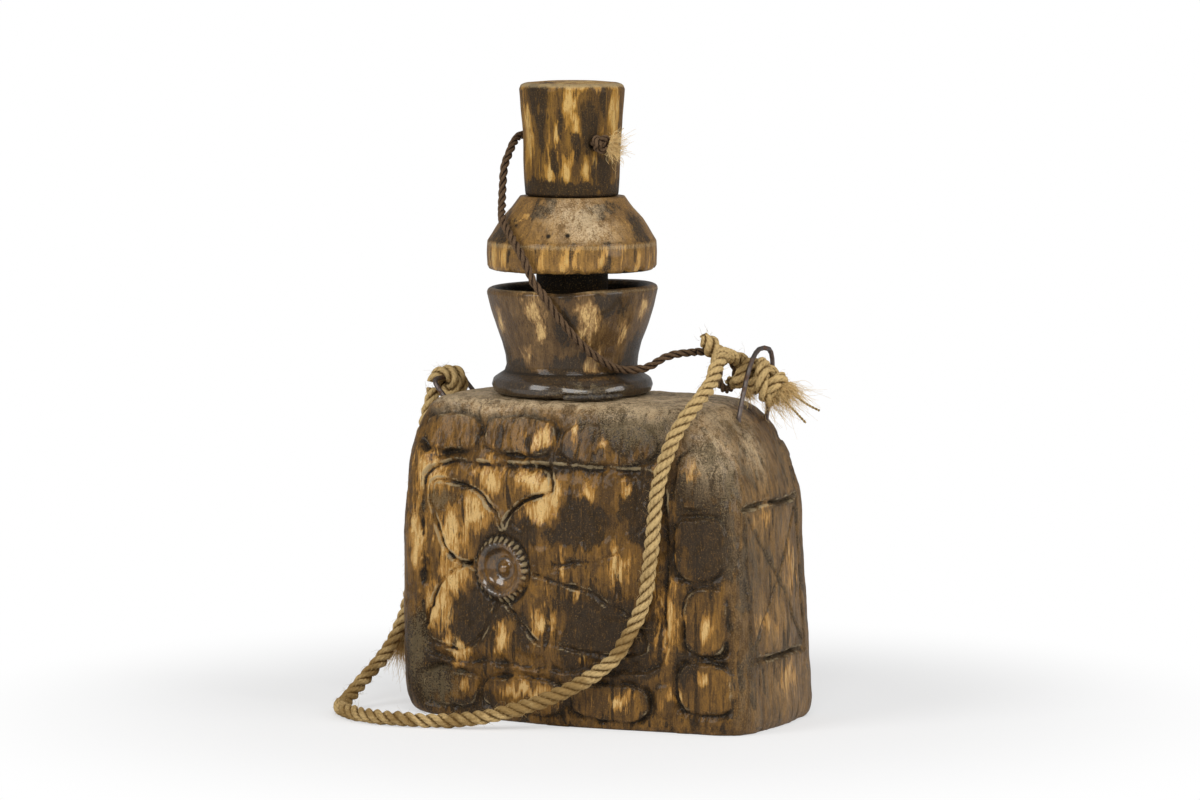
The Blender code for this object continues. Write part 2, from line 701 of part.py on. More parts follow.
def build_neck_cup():
    """The flared cup, its foot ring and the spigot that plugs the block's mouth."""
    waist_z = BODY_TOP + WAIST_RISE
    ring_foot = BODY_TOP + FIT
    ring_curl = (RING_HEIGHT - FIT) / 2.0
    spigot_foot = BODY_TOP - SPIGOT_DEPTH
    bore_top = RIM_Z - FUNNEL_DEPTH
    flare, rise = RIM_RADIUS - WAIST_RADIUS, RIM_Z - waist_z
    spread = FUNNEL_RADIUS - BORE_TOP_RADIUS
    profile = arc((RIM_RADIUS - RIM_EDGE, RIM_Z - RIM_EDGE), RIM_EDGE, 90.0, 0.0, 3)
    profile += [(WAIST_RADIUS + flare * r, waist_z + rise * z) for r, z in CUP_SIDE_SHARES]
    profile += arc((RING_RADIUS - ring_curl, ring_foot + ring_curl), ring_curl, 90.0, -90.0, 6)
    profile += [(SPIGOT_RADIUS, ring_foot), (SPIGOT_RADIUS, spigot_foot)]
    profile += [(BORE_FOOT_RADIUS, spigot_foot), (BORE_TOP_RADIUS, bore_top)]
    profile += [(BORE_TOP_RADIUS + spread * r, bore_top + FUNNEL_DEPTH * z) for r, z in FUNNEL_SHARES]
    turned("neck_cup", profile, NECK_WOOD)


def build_neck_seal():
    """The bead of resin along the front of the foot ring."""
    centre_radius = RING_RADIUS + SEAL_RADIUS
    points = []
    for i in range(SEAL_POINTS + 1):
        turn = math.radians(SEAL_START_DEGREES + SEAL_SWEEP_DEGREES * i / SEAL_POINTS)
        foot = on_top(NECK_OFFSET + centre_radius * math.cos(turn), centre_radius * math.sin(turn))
        points.append(foot + Vector((0.0, 0.0, SEAL_RADIUS + FIT)))
    width_shares = [SEAL_END_SHARE] + [1.0] * (SEAL_POINTS - 1) + [SEAL_END_SHARE]
    add_wire("neck_seal", points, SEAL_RADIUS, RESIN, 2, width_shares)


def knob_point(beyond):
    """A point on the cord hole's axis, this far beyond the knob: on the side of the stop knot where
    it is positive, and on the other side where it is negative."""
    reach = math.copysign(KNOB_WAIST_RADIUS, beyond) + beyond
    place = Vector((reach * math.cos(CORD_HOLE_TURN), reach * math.sin(CORD_HOLE_TURN), 0.0))
    return NECK_AXIS + place + Vector((0.0, 0.0, KNOB_FOOT_Z + CORD_HOLE_RISE))


def build_stopper_peg():
    """The knob and its tapered stem in one piece, with the tether's hole across the knob."""
    swell = KNOB_TOP_RADIUS - KNOB_FOOT_RADIUS
    stem_foot = RIM_Z - STEM_DEPTH
    stem_radius = bore_radius(stem_foot) - FIT
    profile = [(0.0, KNOB_TOP_Z + KNOB_CROWN)]
    profile += arc((KNOB_TOP_RADIUS - KNOB_EDGE, KNOB_TOP_Z - KNOB_EDGE), KNOB_EDGE, 90.0, 0.0, 3)
    profile += [(KNOB_FOOT_RADIUS + swell * r, KNOB_FOOT_Z + KNOB_HEIGHT * z) for r, z in KNOB_SIDE_SHARES]
    profile += [(KNOB_FOOT_RADIUS, KNOB_FOOT_Z), (STEM_TOP_RADIUS, KNOB_FOOT_Z)]
    profile += [(STEM_TOP_RADIUS, RIM_Z - FUNNEL_DEPTH + STEM_TAPER_RISE)]
    profile += [(stem_radius, stem_foot + STEM_EDGE), (stem_radius - STEM_EDGE, stem_foot), (0.0, stem_foot)]
    peg = turned("stopper_peg", profile, STOPPER_WOOD)
    hole = tube_mesh("cord_hole", [knob_point(-OVERRUN), knob_point(OVERRUN)], CORD_HOLE_RADIUS, 2)
    cut(peg, add_cutter("cord_hole", hole))
    return peg


def build_stopper_collar():
    """The ring that is threaded on the stem: a cone above a plain band, dished below."""
    band_top = COLLAR_FOOT_Z + COLLAR_BAND
    cone_rise = COLLAR_TOP_Z - band_top
    cone_spread = COLLAR_RADIUS - COLLAR_TOP_RADIUS
    bore = STEM_TOP_RADIUS + FIT
    profile = [(COLLAR_TOP_RADIUS, COLLAR_TOP_Z)]
    profile += [(COLLAR_TOP_RADIUS + cone_spread * r, band_top + cone_rise * z) for r, z in CONE_SHARES]
    profile += arc((COLLAR_RADIUS - COLLAR_EDGE, COLLAR_FOOT_Z + COLLAR_EDGE), COLLAR_EDGE, 0.0, -90.0, 3)
    profile += [(bore + COLLAR_DISH, COLLAR_FOOT_Z + COLLAR_DISH), (bore, COLLAR_FOOT_Z + COLLAR_DISH)]
    profile += [(bore, COLLAR_TOP_Z)]
    return turned("stopper_collar", profile, COLLAR_WOOD)


# Staples, and the pilot holes that they are driven into


def staple_points(x, y, rise, back_lean_share, side_lean_share, round_share):
    """From one foot's tip in the wood, over the arch and down to the other foot's tip."""
    feet = [on_top(x, y + side * STAPLE_SPAN / 2.0) for side in (-1, 1)]
    tips = [foot - Vector((0.0, 0.0, STAPLE_SEAT_DEPTH)) for foot in feet]
    bends = [foot + Vector((0.0, 0.0, STAPLE_WIRE_RADIUS)) for foot in feet]
    arch = []
    for i in range(1, STAPLE_POINTS):
        turn = math.pi * i / STAPLE_POINTS
        height = rise * math.sin(turn) ** round_share
        across = -math.copysign(abs(math.cos(turn)) ** round_share, math.cos(turn))
        base = feet[0].lerp(feet[1], (1.0 + across) / 2.0)
        arch.append(base + Vector((side_lean_share * height, back_lean_share * height, height)))
    return [tips[0], bends[0], *arch, bends[1], tips[1]]


def add_staple(name, body, *placing):
    points = staple_points(*placing)
    add_wire(name, points, STAPLE_WIRE_RADIUS, IRON)
    for side, tip in (("front", points[0]), ("back", points[-1])):
        hole = upright_cylinder(
            f"{name}_{side}_hole",
            tip,
            STAPLE_WIRE_RADIUS + FIT,
            tip.z - FIT,
            BODY_TOP + OVERRUN,
            STAPLE_HOLE_SEGMENTS,
        )
        cut(body, add_cutter(hole.name, hole))
    return points


# Ropes, cords and their knots


def coil_points(start, end, radius, turns, start_turn):
    """A helix about the line between two points, with its start's angle measured from up."""
    axis = (end - start).normalized()
    up = (Vector((0.0, 0.0, 1.0)) - axis * axis.z).normalized()
    side = axis.cross(up)
    count = round(abs(turns) * COIL_STEPS)
    points = []
    for i in range(count + 1):
        share = i / count
        turn = start_turn + 2.0 * math.pi * turns * share
        points.append(start.lerp(end, share) + (up * math.cos(turn) + side * math.sin(turn)) * radius)
    return points


def add_coil(name, points, radius, material):
    """A coil as one unbroken tube. It prints the least gap between its turns."""
    gap = math.inf
    for i, point in enumerate(points):
        for j in range(i + COIL_STEPS // 2, len(points) - 1):
            nearest, share = intersect_point_line(point, points[j], points[j + 1])
            if 0.0 <= share <= 1.0:
                gap = min(gap, (nearest - point).length - 2.0 * radius)
    print(f"{name}: least gap to itself {gap * MILLIMETRES:.2f} mm")
    return add_wire(name, points, radius, material)


def add_tuft(name, start, end, radius, material):
    """A brush of loose fibres: a tube that swells towards its blunt end."""
    points = [start.lerp(end, along) for along, _ in TUFT_SHARES]
    return add_wire(name, points, radius, material, 3, [width for _, width in TUFT_SHARES])


def build_cords():
    rope_step = CORD_STEP_DIAMETERS * 2.0 * ROPE_RADIUS
    tether_step = CORD_STEP_DIAMETERS * 2.0 * TETHER_RADIUS
    for name, route in (("carrying_rope", ROPE_ROUTE), ("left_tail", TAIL_ROUTE)):
        add_wire(name, smooth_points(follow_width(route), rope_step), ROPE_RADIUS, ROPE_FIBRE)
    stub = smooth_points(follow_width(STUB_ROUTE), ROPE_RADIUS)
    add_wire("right_rope_end", stub, ROPE_RADIUS, ROPE_FIBRE)
    tether = smooth_points(follow_width(TETHER_ROUTE, 0.0), tether_step)
    add_wire("stopper_tether", tether, TETHER_RADIUS, DARK_CORD)
    hitch = smooth_points(follow_width(HITCH_ROUTE), TETHER_RADIUS)
    add_wire("tether_hitch", hitch, TETHER_RADIUS, DARK_CORD)


def build_knots(left_staple):
    """The rope's wraps at each staple, and its frayed ends."""
    bar = max(left_staple, key=lambda p: p.z)
    bar_start, bar_end = (Vector((bar.x, y, bar.z)) for y in (LEFT_WRAP_START, LEFT_WRAP_END))
    wrap_radius = STAPLE_WIRE_RADIUS + ROPE_RADIUS + WRAP_CLEARANCE
    left = coil_points(bar_start, bar_end, wrap_radius, LEFT_WRAP_TURNS, -math.pi / 2.0)
    add_coil("left_knot", left, ROPE_RADIUS, ROPE_FIBRE)
    knot_start, knot_end = follow_width((RIGHT_KNOT_START, RIGHT_KNOT_END))
    right = coil_points(knot_start, knot_end, RIGHT_KNOT_RADIUS, RIGHT_KNOT_TURNS, 0.0)
    add_coil("right_knot", right, ROPE_RADIUS, ROPE_FIBRE)
    fray_start, fray_end = follow_width((RIGHT_FRAY_START, RIGHT_FRAY_END))
    add_tuft("right_fray", fray_start, fray_end, RIGHT_FRAY_RADIUS, PALE_FRAY)
    tail_end, tassel_end = follow_width((TAIL_ROUTE[-1], TASSEL_END))
    tassel_start = tail_end + (tassel_end - tail_end).normalized() * FRAY_GAP
    add_tuft("left_tail_brush", tassel_start, tassel_end, TASSEL_RADIUS, PALE_FRAY)


def build_stop_knot():
    """The ball knot outside the knob, and the pale fray beyond it."""
    centre = knob_point(STOP_KNOT_RADIUS + STOP_KNOT_STAND_OFF)
    work = bmesh.new()
    bmesh.ops.create_uvsphere(
        work,
        u_segments=STOP_KNOT_SEGMENTS,
        v_segments=STOP_KNOT_RINGS,
        radius=STOP_KNOT_RADIUS,
        matrix=Matrix.Translation(centre),
    )
    mesh = bpy.data.meshes.new("tether_knot")
    work.to_mesh(mesh)
    work.free()
    mesh.shade_smooth()
    knot = add_part("tether_knot", mesh, DARK_CORD)
    out = (centre - knob_point(0.0)).normalized()
    side = Vector((-out.y, out.x, 0.0))
    out_share, side_share, up_share = FRAY_LEAN_SHARES
    way = (out * out_share + side * side_share + Vector((0.0, 0.0, up_share))).normalized()
    start = centre + way * (STOP_KNOT_RADIUS + FRAY_GAP)
    fray = add_tuft("tether_fray", start, start + way * FRAY_LENGTH, STOP_FRAY_RADIUS, PALE_FRAY)
    return knot, fray


def build_stopper():
    """Everything that lifts out of the neck, on one stand-in that marks the neck's axis."""
    axis = bpy.data.objects.new("stopper_axis", None)
    axis.location = NECK_AXIS
    PARTS.objects.link(axis)
    for piece in (build_stopper_peg(), build_stopper_collar(), *build_stop_knot()):
        hang_on(axis, piece)


def build_flask():
    body = build_body()
    build_neck_cup()
    build_neck_seal()
    build_stopper()
    left_staple = add_staple(
        "left_staple",
        body,
        LEFT_STAPLE_INSET - BODY_HALF_WIDTH,
        LEFT_STAPLE_Y,
        LEFT_STAPLE_RISE,
        LEFT_BACK_LEAN_SHARE,
        LEFT_SIDE_LEAN_SHARE,
        LEFT_ARCH_ROUND_SHARE,
    )
    add_staple(
        "right_staple",
        body,
        BODY_HALF_WIDTH - RIGHT_STAPLE_INSET,
        RIGHT_STAPLE_Y,
        RIGHT_STAPLE_RISE,
        RIGHT_BACK_LEAN_SHARE,
        RIGHT_SIDE_LEAN_SHARE,
        RIGHT_ARCH_ROUND_SHARE,
    )
    build_cords()
    build_knots(left_staple)


build_flask()
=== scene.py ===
"""Hand-carved wooden flask with a corded stopper, finished and lit for its photograph.

Metres, +Z up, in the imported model's own frame. The carved front faces -Y, and the neck stands left
of the middle, towards -X.
"""

import math

import bpy
import numpy as np
from bpy.props import FloatProperty, FloatVectorProperty, PointerProperty
from mathutils import Matrix, Vector, noise


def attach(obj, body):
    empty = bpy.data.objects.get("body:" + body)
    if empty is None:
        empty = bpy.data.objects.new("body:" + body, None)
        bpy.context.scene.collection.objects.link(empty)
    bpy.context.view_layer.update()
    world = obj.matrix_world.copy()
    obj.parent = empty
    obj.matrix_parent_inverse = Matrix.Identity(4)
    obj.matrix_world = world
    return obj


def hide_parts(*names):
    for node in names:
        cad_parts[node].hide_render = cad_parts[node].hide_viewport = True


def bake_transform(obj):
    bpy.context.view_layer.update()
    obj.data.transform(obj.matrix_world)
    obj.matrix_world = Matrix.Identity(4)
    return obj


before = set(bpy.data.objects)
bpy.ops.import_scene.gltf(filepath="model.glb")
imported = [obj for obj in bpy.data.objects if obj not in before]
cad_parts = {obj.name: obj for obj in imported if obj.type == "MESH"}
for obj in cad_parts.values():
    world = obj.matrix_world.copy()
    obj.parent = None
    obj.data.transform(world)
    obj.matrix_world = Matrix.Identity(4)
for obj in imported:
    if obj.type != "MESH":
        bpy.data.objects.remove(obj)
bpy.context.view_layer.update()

bl_info = {
    "name": "Carved Flask",
    "version": (1, 0, 0),
    "blender": (4, 5, 0),
    "location": "3D View > Sidebar > Flask",
    "description": "Builds a hand-carved wooden flask, its stopper and its ropes on the packed model",
    "category": "Add Mesh",
}

MM = 0.001

# The photograph's camera: it looks down a little, from the right of the carved front
CAMERA_AZIMUTH = math.radians(25.8)
CAMERA_DISTANCE = 2.300
CAMERA_HEIGHT = 0.3624
CAMERA_SIDE = -0.0020
CAMERA_PITCH = math.radians(5.517)
CAMERA_LENS = 155.7
CAMERA_SENSOR = 36.0
CAMERA_REACH = (0.1, 50.0)
TOWARDS_CAMERA = Vector((math.sin(CAMERA_AZIMUTH), -math.cos(CAMERA_AZIMUTH), 0.0))
ACROSS_VIEW = Vector((math.cos(CAMERA_AZIMUTH), math.sin(CAMERA_AZIMUTH), 0.0))

# Softboxes: across the view, towards the camera, up, then width, height and power
SOFTBOXES = {
    "left_softbox": (-0.95, 0.75, 0.75, 0.6, 0.9, 9.0),
    "right_softbox": (1.05, 0.55, 0.60, 0.6, 0.9, 8.0),
    "high_softbox": (0.15, 1.3, 1.25, 0.9, 0.6, 10.0),
}
LIGHT_AIM = Vector((0.0, 0.0, 0.12))
FLOOR_HALF = 6.0
SHADOW_REACH = (0.14, 0.32)

# The block, as the frame has it
BODY_HEIGHT = 0.1425
BODY_HALF_WIDTH = 0.0850
BODY_HALF_DEPTH = 0.0430
WALL_BULGE = 0.0065
CORNER_RADIUS = 0.0160
SHOULDER_DROP = 0.0500
SHOULDER_INSET_LEFT = 0.0150
SHOULDER_INSET_RIGHT = 0.0320
SHOULDER_INSET_DEPTH = 0.0130
TOP_FLAT_SHARE = 0.06
TAPER_START = 0.0500
TAPER_INSET = 0.0030
RIGHT_FLARE = 0.0036
RIGHT_LEAN_INSET = 0.0090
FOOT_HEIGHT = 0.0100
FOOT_INSET = 0.0035
LEFT_TUCK_HEIGHT = 0.0300
LEFT_TUCK_INSET = 0.0050
WALL = 0.0130
FLOOR = 0.0150
ROOF = 0.0150
MOUTH_RADIUS = 0.0203

# The neck cup and the stopper, turned about the neck's axis
NECK = Vector((-0.0160, 0.0, 0.0))
RIM_Z = 0.1911
RIM_RADIUS = 0.0382
KNOB_FOOT_Z = 0.2312
CORD_HOLE_Z = 0.2552
CORD_HOLE_TURN = math.radians(-36.0)

# Each profile is radius and height in millimetres, from the top of the outer side round to the bore
CUP_PROFILE = (
    (36.2, 191.1), (37.6, 190.5), (38.2, 189.1), (36.2, 181.5), (33.3, 172.5), (31.0, 166.0),
    (29.7, 160.5), (29.3, 155.8), (30.2, 153.0), (33.0, 151.2), (35.1, 149.8), (36.0, 146.9),
    (35.1, 144.2), (32.5, 142.9), (20.0, 142.8), (20.0, 125.0), (14.0, 125.0), (16.3, 170.1),
    (19.7, 171.8), (25.8, 175.4), (30.6, 181.7), (33.5, 189.8), (34.6, 190.9),
)
COLLAR_PROFILE = (
    (23.3, 230.9), (24.2, 229.7), (27.1, 225.7), (31.4, 220.9), (35.4, 214.4), (37.6, 211.0),
    (37.9, 205.5), (37.8, 200.4), (36.9, 198.7), (35.0, 198.1), (19.4, 201.0), (16.3, 201.1),
    (16.3, 230.9),
)
KNOB_PROFILE = (
    (0.6, 282.0), (12.0, 281.9), (20.6, 281.2), (22.6, 280.4), (23.4, 278.4), (22.9, 270.0),
    (22.4, 262.6), (21.6, 253.0), (21.2, 245.0), (20.9, 236.2), (20.7, 231.8), (20.2, 231.2),
    (16.0, 231.2), (16.0, 171.2), (15.5, 152.3), (14.3, 151.1), (0.6, 151.1),
)
PROFILE_STEP = 0.0009
CUP_COLUMNS = 200
COLLAR_COLUMNS = 210
KNOB_COLUMNS = 180
RIM_TILT = 0.0009
RIM_TILT_START = 0.1600

# Where the wear of the turned pieces fades in: spans of height, or of radius from the neck's axis
RING_HEIGHTS = (0.1530, 0.1505)
RING_RADII = (0.0290, 0.0320)
DIP_HEIGHTS = (0.1440, 0.1490)
RING_SEAM_Z = 0.1532
RING_SEAM_RADII = (0.0270, 0.0285)
FUNNEL_FOOT = (0.1690, 0.1720)
FUNNEL_TOP = (0.1905, 0.1885)
RIM_EDGE_Z = 0.1905
BAND_RADII = (0.0345, 0.0368)
BAND_FOOT = (0.2060, 0.1995)
BAND_EDGE_Z = 0.2100
BAND_SEAM_Z = 0.2118
BAND_RADIUS = 0.0340
CONE_FOOT = (0.2110, 0.2130)
COLLAR_UNDERSIDE_Z = 0.2020
COLLAR_UNDERSIDE_RADIUS = 0.0360
KNOB_SEAM_Z = 0.2314
KNOB_EDGE_HEIGHTS = (0.2780, 0.2810)
KNOB_EDGE_RADII = (0.0190, 0.0215)
CORD_HOLE_RADII = (2.2 * MM, 3.4 * MM)
CORD_HOLE_LOWEST = 0.2400

# How finely the block is cut: points along its front, end, back, front corner and back corner, then rows
BLOCK_COUNTS = (290, 64, 90, 22, 10)
BLOCK_ROWS = 205
TOP_RINGS = 12
HOLLOW_ROWS = 12
SOFT_ROWS_BELOW = 9
SOFT_ROWS_ABOVE = 5
SOFTENING_ROUNDS = 30

# Where carving, wear and painted sheen fade in on the block: how far the wood faces that way, or at what
# heights
BROAD_FACING = (0.12, 0.42)
END_FACING = (0.65, 0.85)
END_WEAR_AND_SHEEN_FACING = (0.45, 0.80)
TOP_WEAR_AND_SHEEN_HEIGHTS = (0.1370, 0.1420)
PANEL_LIP_HEIGHTS = (0.0900, 0.1100)

# Each cobble in shares of the block's half width and height: left, right, foot, top, how strongly cut
COBBLE_SHARES = (
    (-0.84, -0.49, 0.835, 0.950, 1.15),
    (-0.46, -0.03, 0.835, 0.955, 1.0),
    (0.00, 0.53, 0.815, 0.945, 0.85),
    (0.63, 0.91, 0.695, 0.870, 0.7),
    (0.63, 0.92, 0.470, 0.675, 0.9),
    (0.69, 0.93, 0.240, 0.455, 1.0),
    (0.66, 0.96, 0.060, 0.225, 0.9),
    (-0.82, -0.47, 0.035, 0.150, 1.1),
    (-0.45, 0.04, 0.030, 0.145, 0.95),
    (0.07, 0.52, 0.030, 0.145, 0.9),
    (0.54, 0.65, 0.045, 0.150, 0.3),
    (-0.95, -0.86, 0.18, 0.360, 0.4),
    (-0.95, -0.86, 0.40, 0.590, 0.35),
    (-0.94, -0.86, 0.63, 0.790, 0.35),
)
PANEL_SHARES = (-0.825, 0.60, 0.178, 0.805)

# Each wing of the rosette: how strongly it is cut, and the points of its line in the same shares
WING_SHARES = (
    (0.9, ((-0.34, 0.61), (-0.36, 0.64), (-0.41, 0.676), (-0.47, 0.711), (-0.55, 0.729),
           (-0.70, 0.743), (-0.77, 0.738), (-0.77, 0.68), (-0.74, 0.62), (-0.70, 0.56),
           (-0.63, 0.50), (-0.50, 0.475))),
    (0.9, ((-0.32, 0.617), (-0.28, 0.654), (-0.22, 0.685), (-0.14, 0.71), (-0.05, 0.723),
           (-0.04, 0.75), (-0.06, 0.79), (-0.13, 0.805))),
    (0.5, ((0.58, 0.695), (0.52, 0.663), (0.44, 0.62), (0.36, 0.57), (0.25, 0.525), (-0.14, 0.50))),
    (0.7, ((-0.52, 0.49), (-0.63, 0.466), (-0.70, 0.433), (-0.74, 0.389), (-0.80, 0.30),
           (-0.81, 0.25), (-0.61, 0.215), (-0.46, 0.265), (-0.36, 0.37))),
    (0.65, ((-0.31, 0.37), (-0.17, 0.28), (-0.03, 0.255), (0.25, 0.23), (0.48, 0.25),
           (0.42, 0.34), (0.18, 0.42), (-0.14, 0.465))),
)

# The crossed panel of an end wall, in shares of the block's half depth and height
SIDE_PANEL_SHARES = (-0.72, 0.56, 0.225, 0.695)
SIDE_CROSS_SHARES = (((-0.64, 0.665), (0.47, 0.26)), ((0.47, 0.66), (-0.64, 0.26)))

# How square the outlines are, where 2 is an oval
COBBLE_POWER = 3.0
PANEL_POWER = 9.0
SIDE_PANEL_POWER = 16.0

# The medallion: its middle across and up, how much taller than wide it is, its radii and its teeth
MEDALLION = (-0.0284, 0.0680)
MEDALLION_TALL = 1.06
MEDALLION_BOWL = 0.0086
MEDALLION_RING = 0.0127
MEDALLION_BOSS = 0.0026
MEDALLION_TEETH = 28

# Wear, dirt, and a whitish haze with painted sheen on the block in millimetres: where each patch is, then
# half its width and height
PALE_SPOTS = (
    (-13, -47, 109, 5, 7), (-5, -47, 104, 4, 9), (-9, -47, 95, 7, 6), (-2, -47, 100, 3, 8),
    (14, -47, 102, 4, 4), (32, -45, 106, 2, 6), (28, -46, 71, 4, 11), (2, -48, 73, 1.5, 7),
    (63, -42, 114, 5, 6), (65, -43, 103, 2, 5), (54, -44, 75, 2, 12), (8, -48, 59, 3, 4),
    (-8, -44, 126, 5, 5), (5, -44, 129, 2, 4), (19, -44, 122, 2, 5), (-54, -44, 62, 9, 9),
    (-62, -43, 49, 9, 9), (-7, -48, 46, 6, 6), (-28, -46, 38, 4, 5), (13, -48, 33, 4, 6),
    (-51, -44, 31, 7, 6), (-48, -44, 15, 4, 5), (-17, -47, 16, 10, 3), (30, -46, 15, 5, 3),
    (55, -44, 16, 4, 4), (69, -43, 26, 3, 3), (87, 4, 20, 15, 10), (69, -43, 47, 3, 5),
    (-64, -42, 108, 7, 9), (-56, -43, 80, 7, 10), (-72, -42, 82, 5, 18), (50, -44, 48, 7, 13),
    (-17, -46, 113, 4, 7), (74, -31, 124, 4, 9), (39, -41, 128, 4, 4), (84, -17, 95, 14, 8),
    (86, -14, 46, 14, 8), (-42, -45, 92, 6, 8), (-36, -46, 108, 7, 6), (86, 12, 70, 12, 18),
)
DARK_SPOTS = (
    (26, -47, 42, 19, 16), (18, -48, 51, 15, 8), (13, -48, 93, 12, 7), (37, -45, 100, 6, 10),
    (-19, -47, 85, 8, 4), (7, -48, 85, 15, 3), (67, -43, 84, 10, 13), (-74, -42, 24, 7, 16),
    (-45, -44, 46, 9, 11), (32, -41, 130, 18, 7), (64, -42, 108, 8, 7), (37, -45, 87, 5, 5),
    (-18, -47, 41, 4, 8), (83, -34, 69, 3, 8), (60, -43, 30, 4, 6), (70, -38, 120, 6, 9),
    (-66, -43, 16, 11, 9), (-42, -45, 7, 13, 4),
    (-2, -46, 118, 8, 3), (44, -45, 47, 5, 7), (-35, -46, 80, 6, 5), (-33, -46, 52, 8, 6),
)
GRIT_SPOTS = (
    (32, -41, 130, 20, 8), (70, -36, 122, 9, 12), (-60, -43, 97, 8, 4), (45, -36, 136, 22, 7),
    (-62, -43, 14, 14, 9), (72, -30, 105, 10, 12), (-74, -42, 30, 6, 18), (30, -30, 141, 30, 6),
    (62, -20, 134, 12, 12),
)
# A whitish haze with painted sheen on the top and the shoulders
HAZE_AND_SHEEN_SPOTS = (
    (70, -34, 126, 12, 14), (60, -20, 138, 22, 10), (30, -32, 140, 26, 5), (-40, -34, 139, 22, 4),
    (78, -10, 128, 10, 16),
)

# Wear, and a whitish haze with painted sheen, on the turned pieces: turn from the camera's side in degrees,
# radius, height, half width and height
CUP_DENT = ((-6, 37, 190.5, 9, 4),)
CUP_DIP = ((12, 35, 150, 13, 9),)
CUP_GRIT = ((10, 36, 146, 25, 3),)
CUP_PALE = (
    (-27, 35.5, 183, 6, 7), (-24, 34, 173, 3, 8), (14, 36, 182, 7, 7), (10, 34, 172, 4, 7),
    (60, 35.5, 181, 4, 5), (42, 33, 170, 3, 6), (-66, 34, 176, 3, 9), (18, 30, 158, 5, 5),
    (-40, 30.5, 160, 3, 5),
)
CUP_DARK = (
    (28, 37, 186, 9, 5), (-5, 37, 188, 6, 3), (-6, 34, 174, 5, 9), (0, 31, 157, 9, 5),
    (70, 31, 160, 9, 9), (-82, 31, 160, 9, 9), (-55, 30, 156, 8, 4),
)
KNOB_PALE = (
    (-62, 22, 262, 3, 16), (-28, 22, 244, 1.5, 8), (-4, 22.5, 274, 1.8, 8), (4, 22.5, 268, 1.2, 10),
    (-18, 22, 256, 1.2, 9), (-8, 21.5, 242, 1.4, 6), (55, 22, 268, 3, 12), (14, 21.5, 243, 1.6, 6),
    (28, 21.5, 246, 1.2, 5), (0, 8, 282, 20, 2),
)
KNOB_DARK = (
    (20, 22, 262, 3.5, 10), (-38, 22, 266, 2.5, 10), (-14, 22, 264, 1.5, 7), (-24, 22, 247, 2, 5),
    (40, 22.5, 273, 2.5, 6), (2, 21.5, 252, 1.5, 6), (0, 21, 233.5, 30, 2.5), (40, 21.5, 243, 5, 8),
    (-45, 21, 234, 16, 3.5), (-46, 22, 276, 5, 6),
)
# The collar's cone takes a whitish haze with painted sheen where it faces the camera
COLLAR_HAZE_AND_SHEEN = ((4, 28, 224, 11, 7), (12, 33, 217, 11, 6))
COLLAR_GRIT = ((10, 30, 221, 9, 7),)
COLLAR_PALE = ((-45, 30, 221, 4, 5), (48, 32, 218, 5, 2))
COLLAR_DARK = (
    (60, 34, 219, 6, 9), (-66, 34, 215, 7, 5), (30, 27, 226, 9, 3), (-30, 27, 227, 6, 3),
    (24, 37, 204, 3, 6), (72, 37, 204, 4, 6),
)
WORM_HOLES = ((-32, 29.5, 224.4), (-49, 33, 219.2), (-17, 35, 214.8), (-3, 35, 215.3))
WORM_HOLE_RADIUS = 1.6 * MM

# Routes of the ropes and cords, the same as the frame's
ROPE_ROUTE = (
    (0.0588, 0.0117, 0.1597), (0.0586, 0.0040, 0.1620), (0.0600, -0.0060, 0.1630),
    (0.0618, -0.0150, 0.1588), (0.0631, -0.0240, 0.1522), (0.0617, -0.0368, 0.1440),
    (0.0563, -0.0436, 0.1333), (0.0518, -0.0466, 0.1207), (0.0480, -0.0476, 0.1054),
    (0.0466, -0.0478, 0.0896), (0.0448, -0.0480, 0.0738), (0.0425, -0.0484, 0.0583),
    (0.0367, -0.0492, 0.0454), (0.0287, -0.0507, 0.0323), (0.0171, -0.0545, 0.0228),
    (0.0020, -0.0592, 0.0146), (-0.0126, -0.0650, 0.0091), (-0.0277, -0.0695, 0.0052),
    (-0.0430, -0.0730, 0.0034), (-0.0584, -0.0765, 0.0034), (-0.0770, -0.0755, 0.0034),
    (-0.0940, -0.0675, 0.0034), (-0.1035, -0.0570, 0.0034), (-0.1065, -0.0455, 0.0046),
    (-0.1048, -0.0350, 0.0112), (-0.1010, -0.0268, 0.0187), (-0.0970, -0.0205, 0.0270),
    (-0.0934, -0.0150, 0.0390), (-0.0914, -0.0118, 0.0510), (-0.0906, -0.0106, 0.0650),
    (-0.0903, -0.0106, 0.0850), (-0.0886, -0.0110, 0.1050), (-0.0868, -0.0105, 0.1170),
    (-0.0856, -0.0078, 0.1270), (-0.0854, -0.0040, 0.1350), (-0.0854, -0.0010, 0.1418),
)
TAIL_ROUTE = (
    (-0.0853, 0.0188, 0.1456), (-0.0864, 0.0184, 0.1350), (-0.0884, 0.0160, 0.1200),
    (-0.0903, 0.0115, 0.1020), (-0.0912, 0.0060, 0.0820), (-0.0914, 0.0005, 0.0630),
    (-0.0918, -0.0042, 0.0480), (-0.0938, -0.0078, 0.0370), (-0.0975, -0.0096, 0.0270),
)
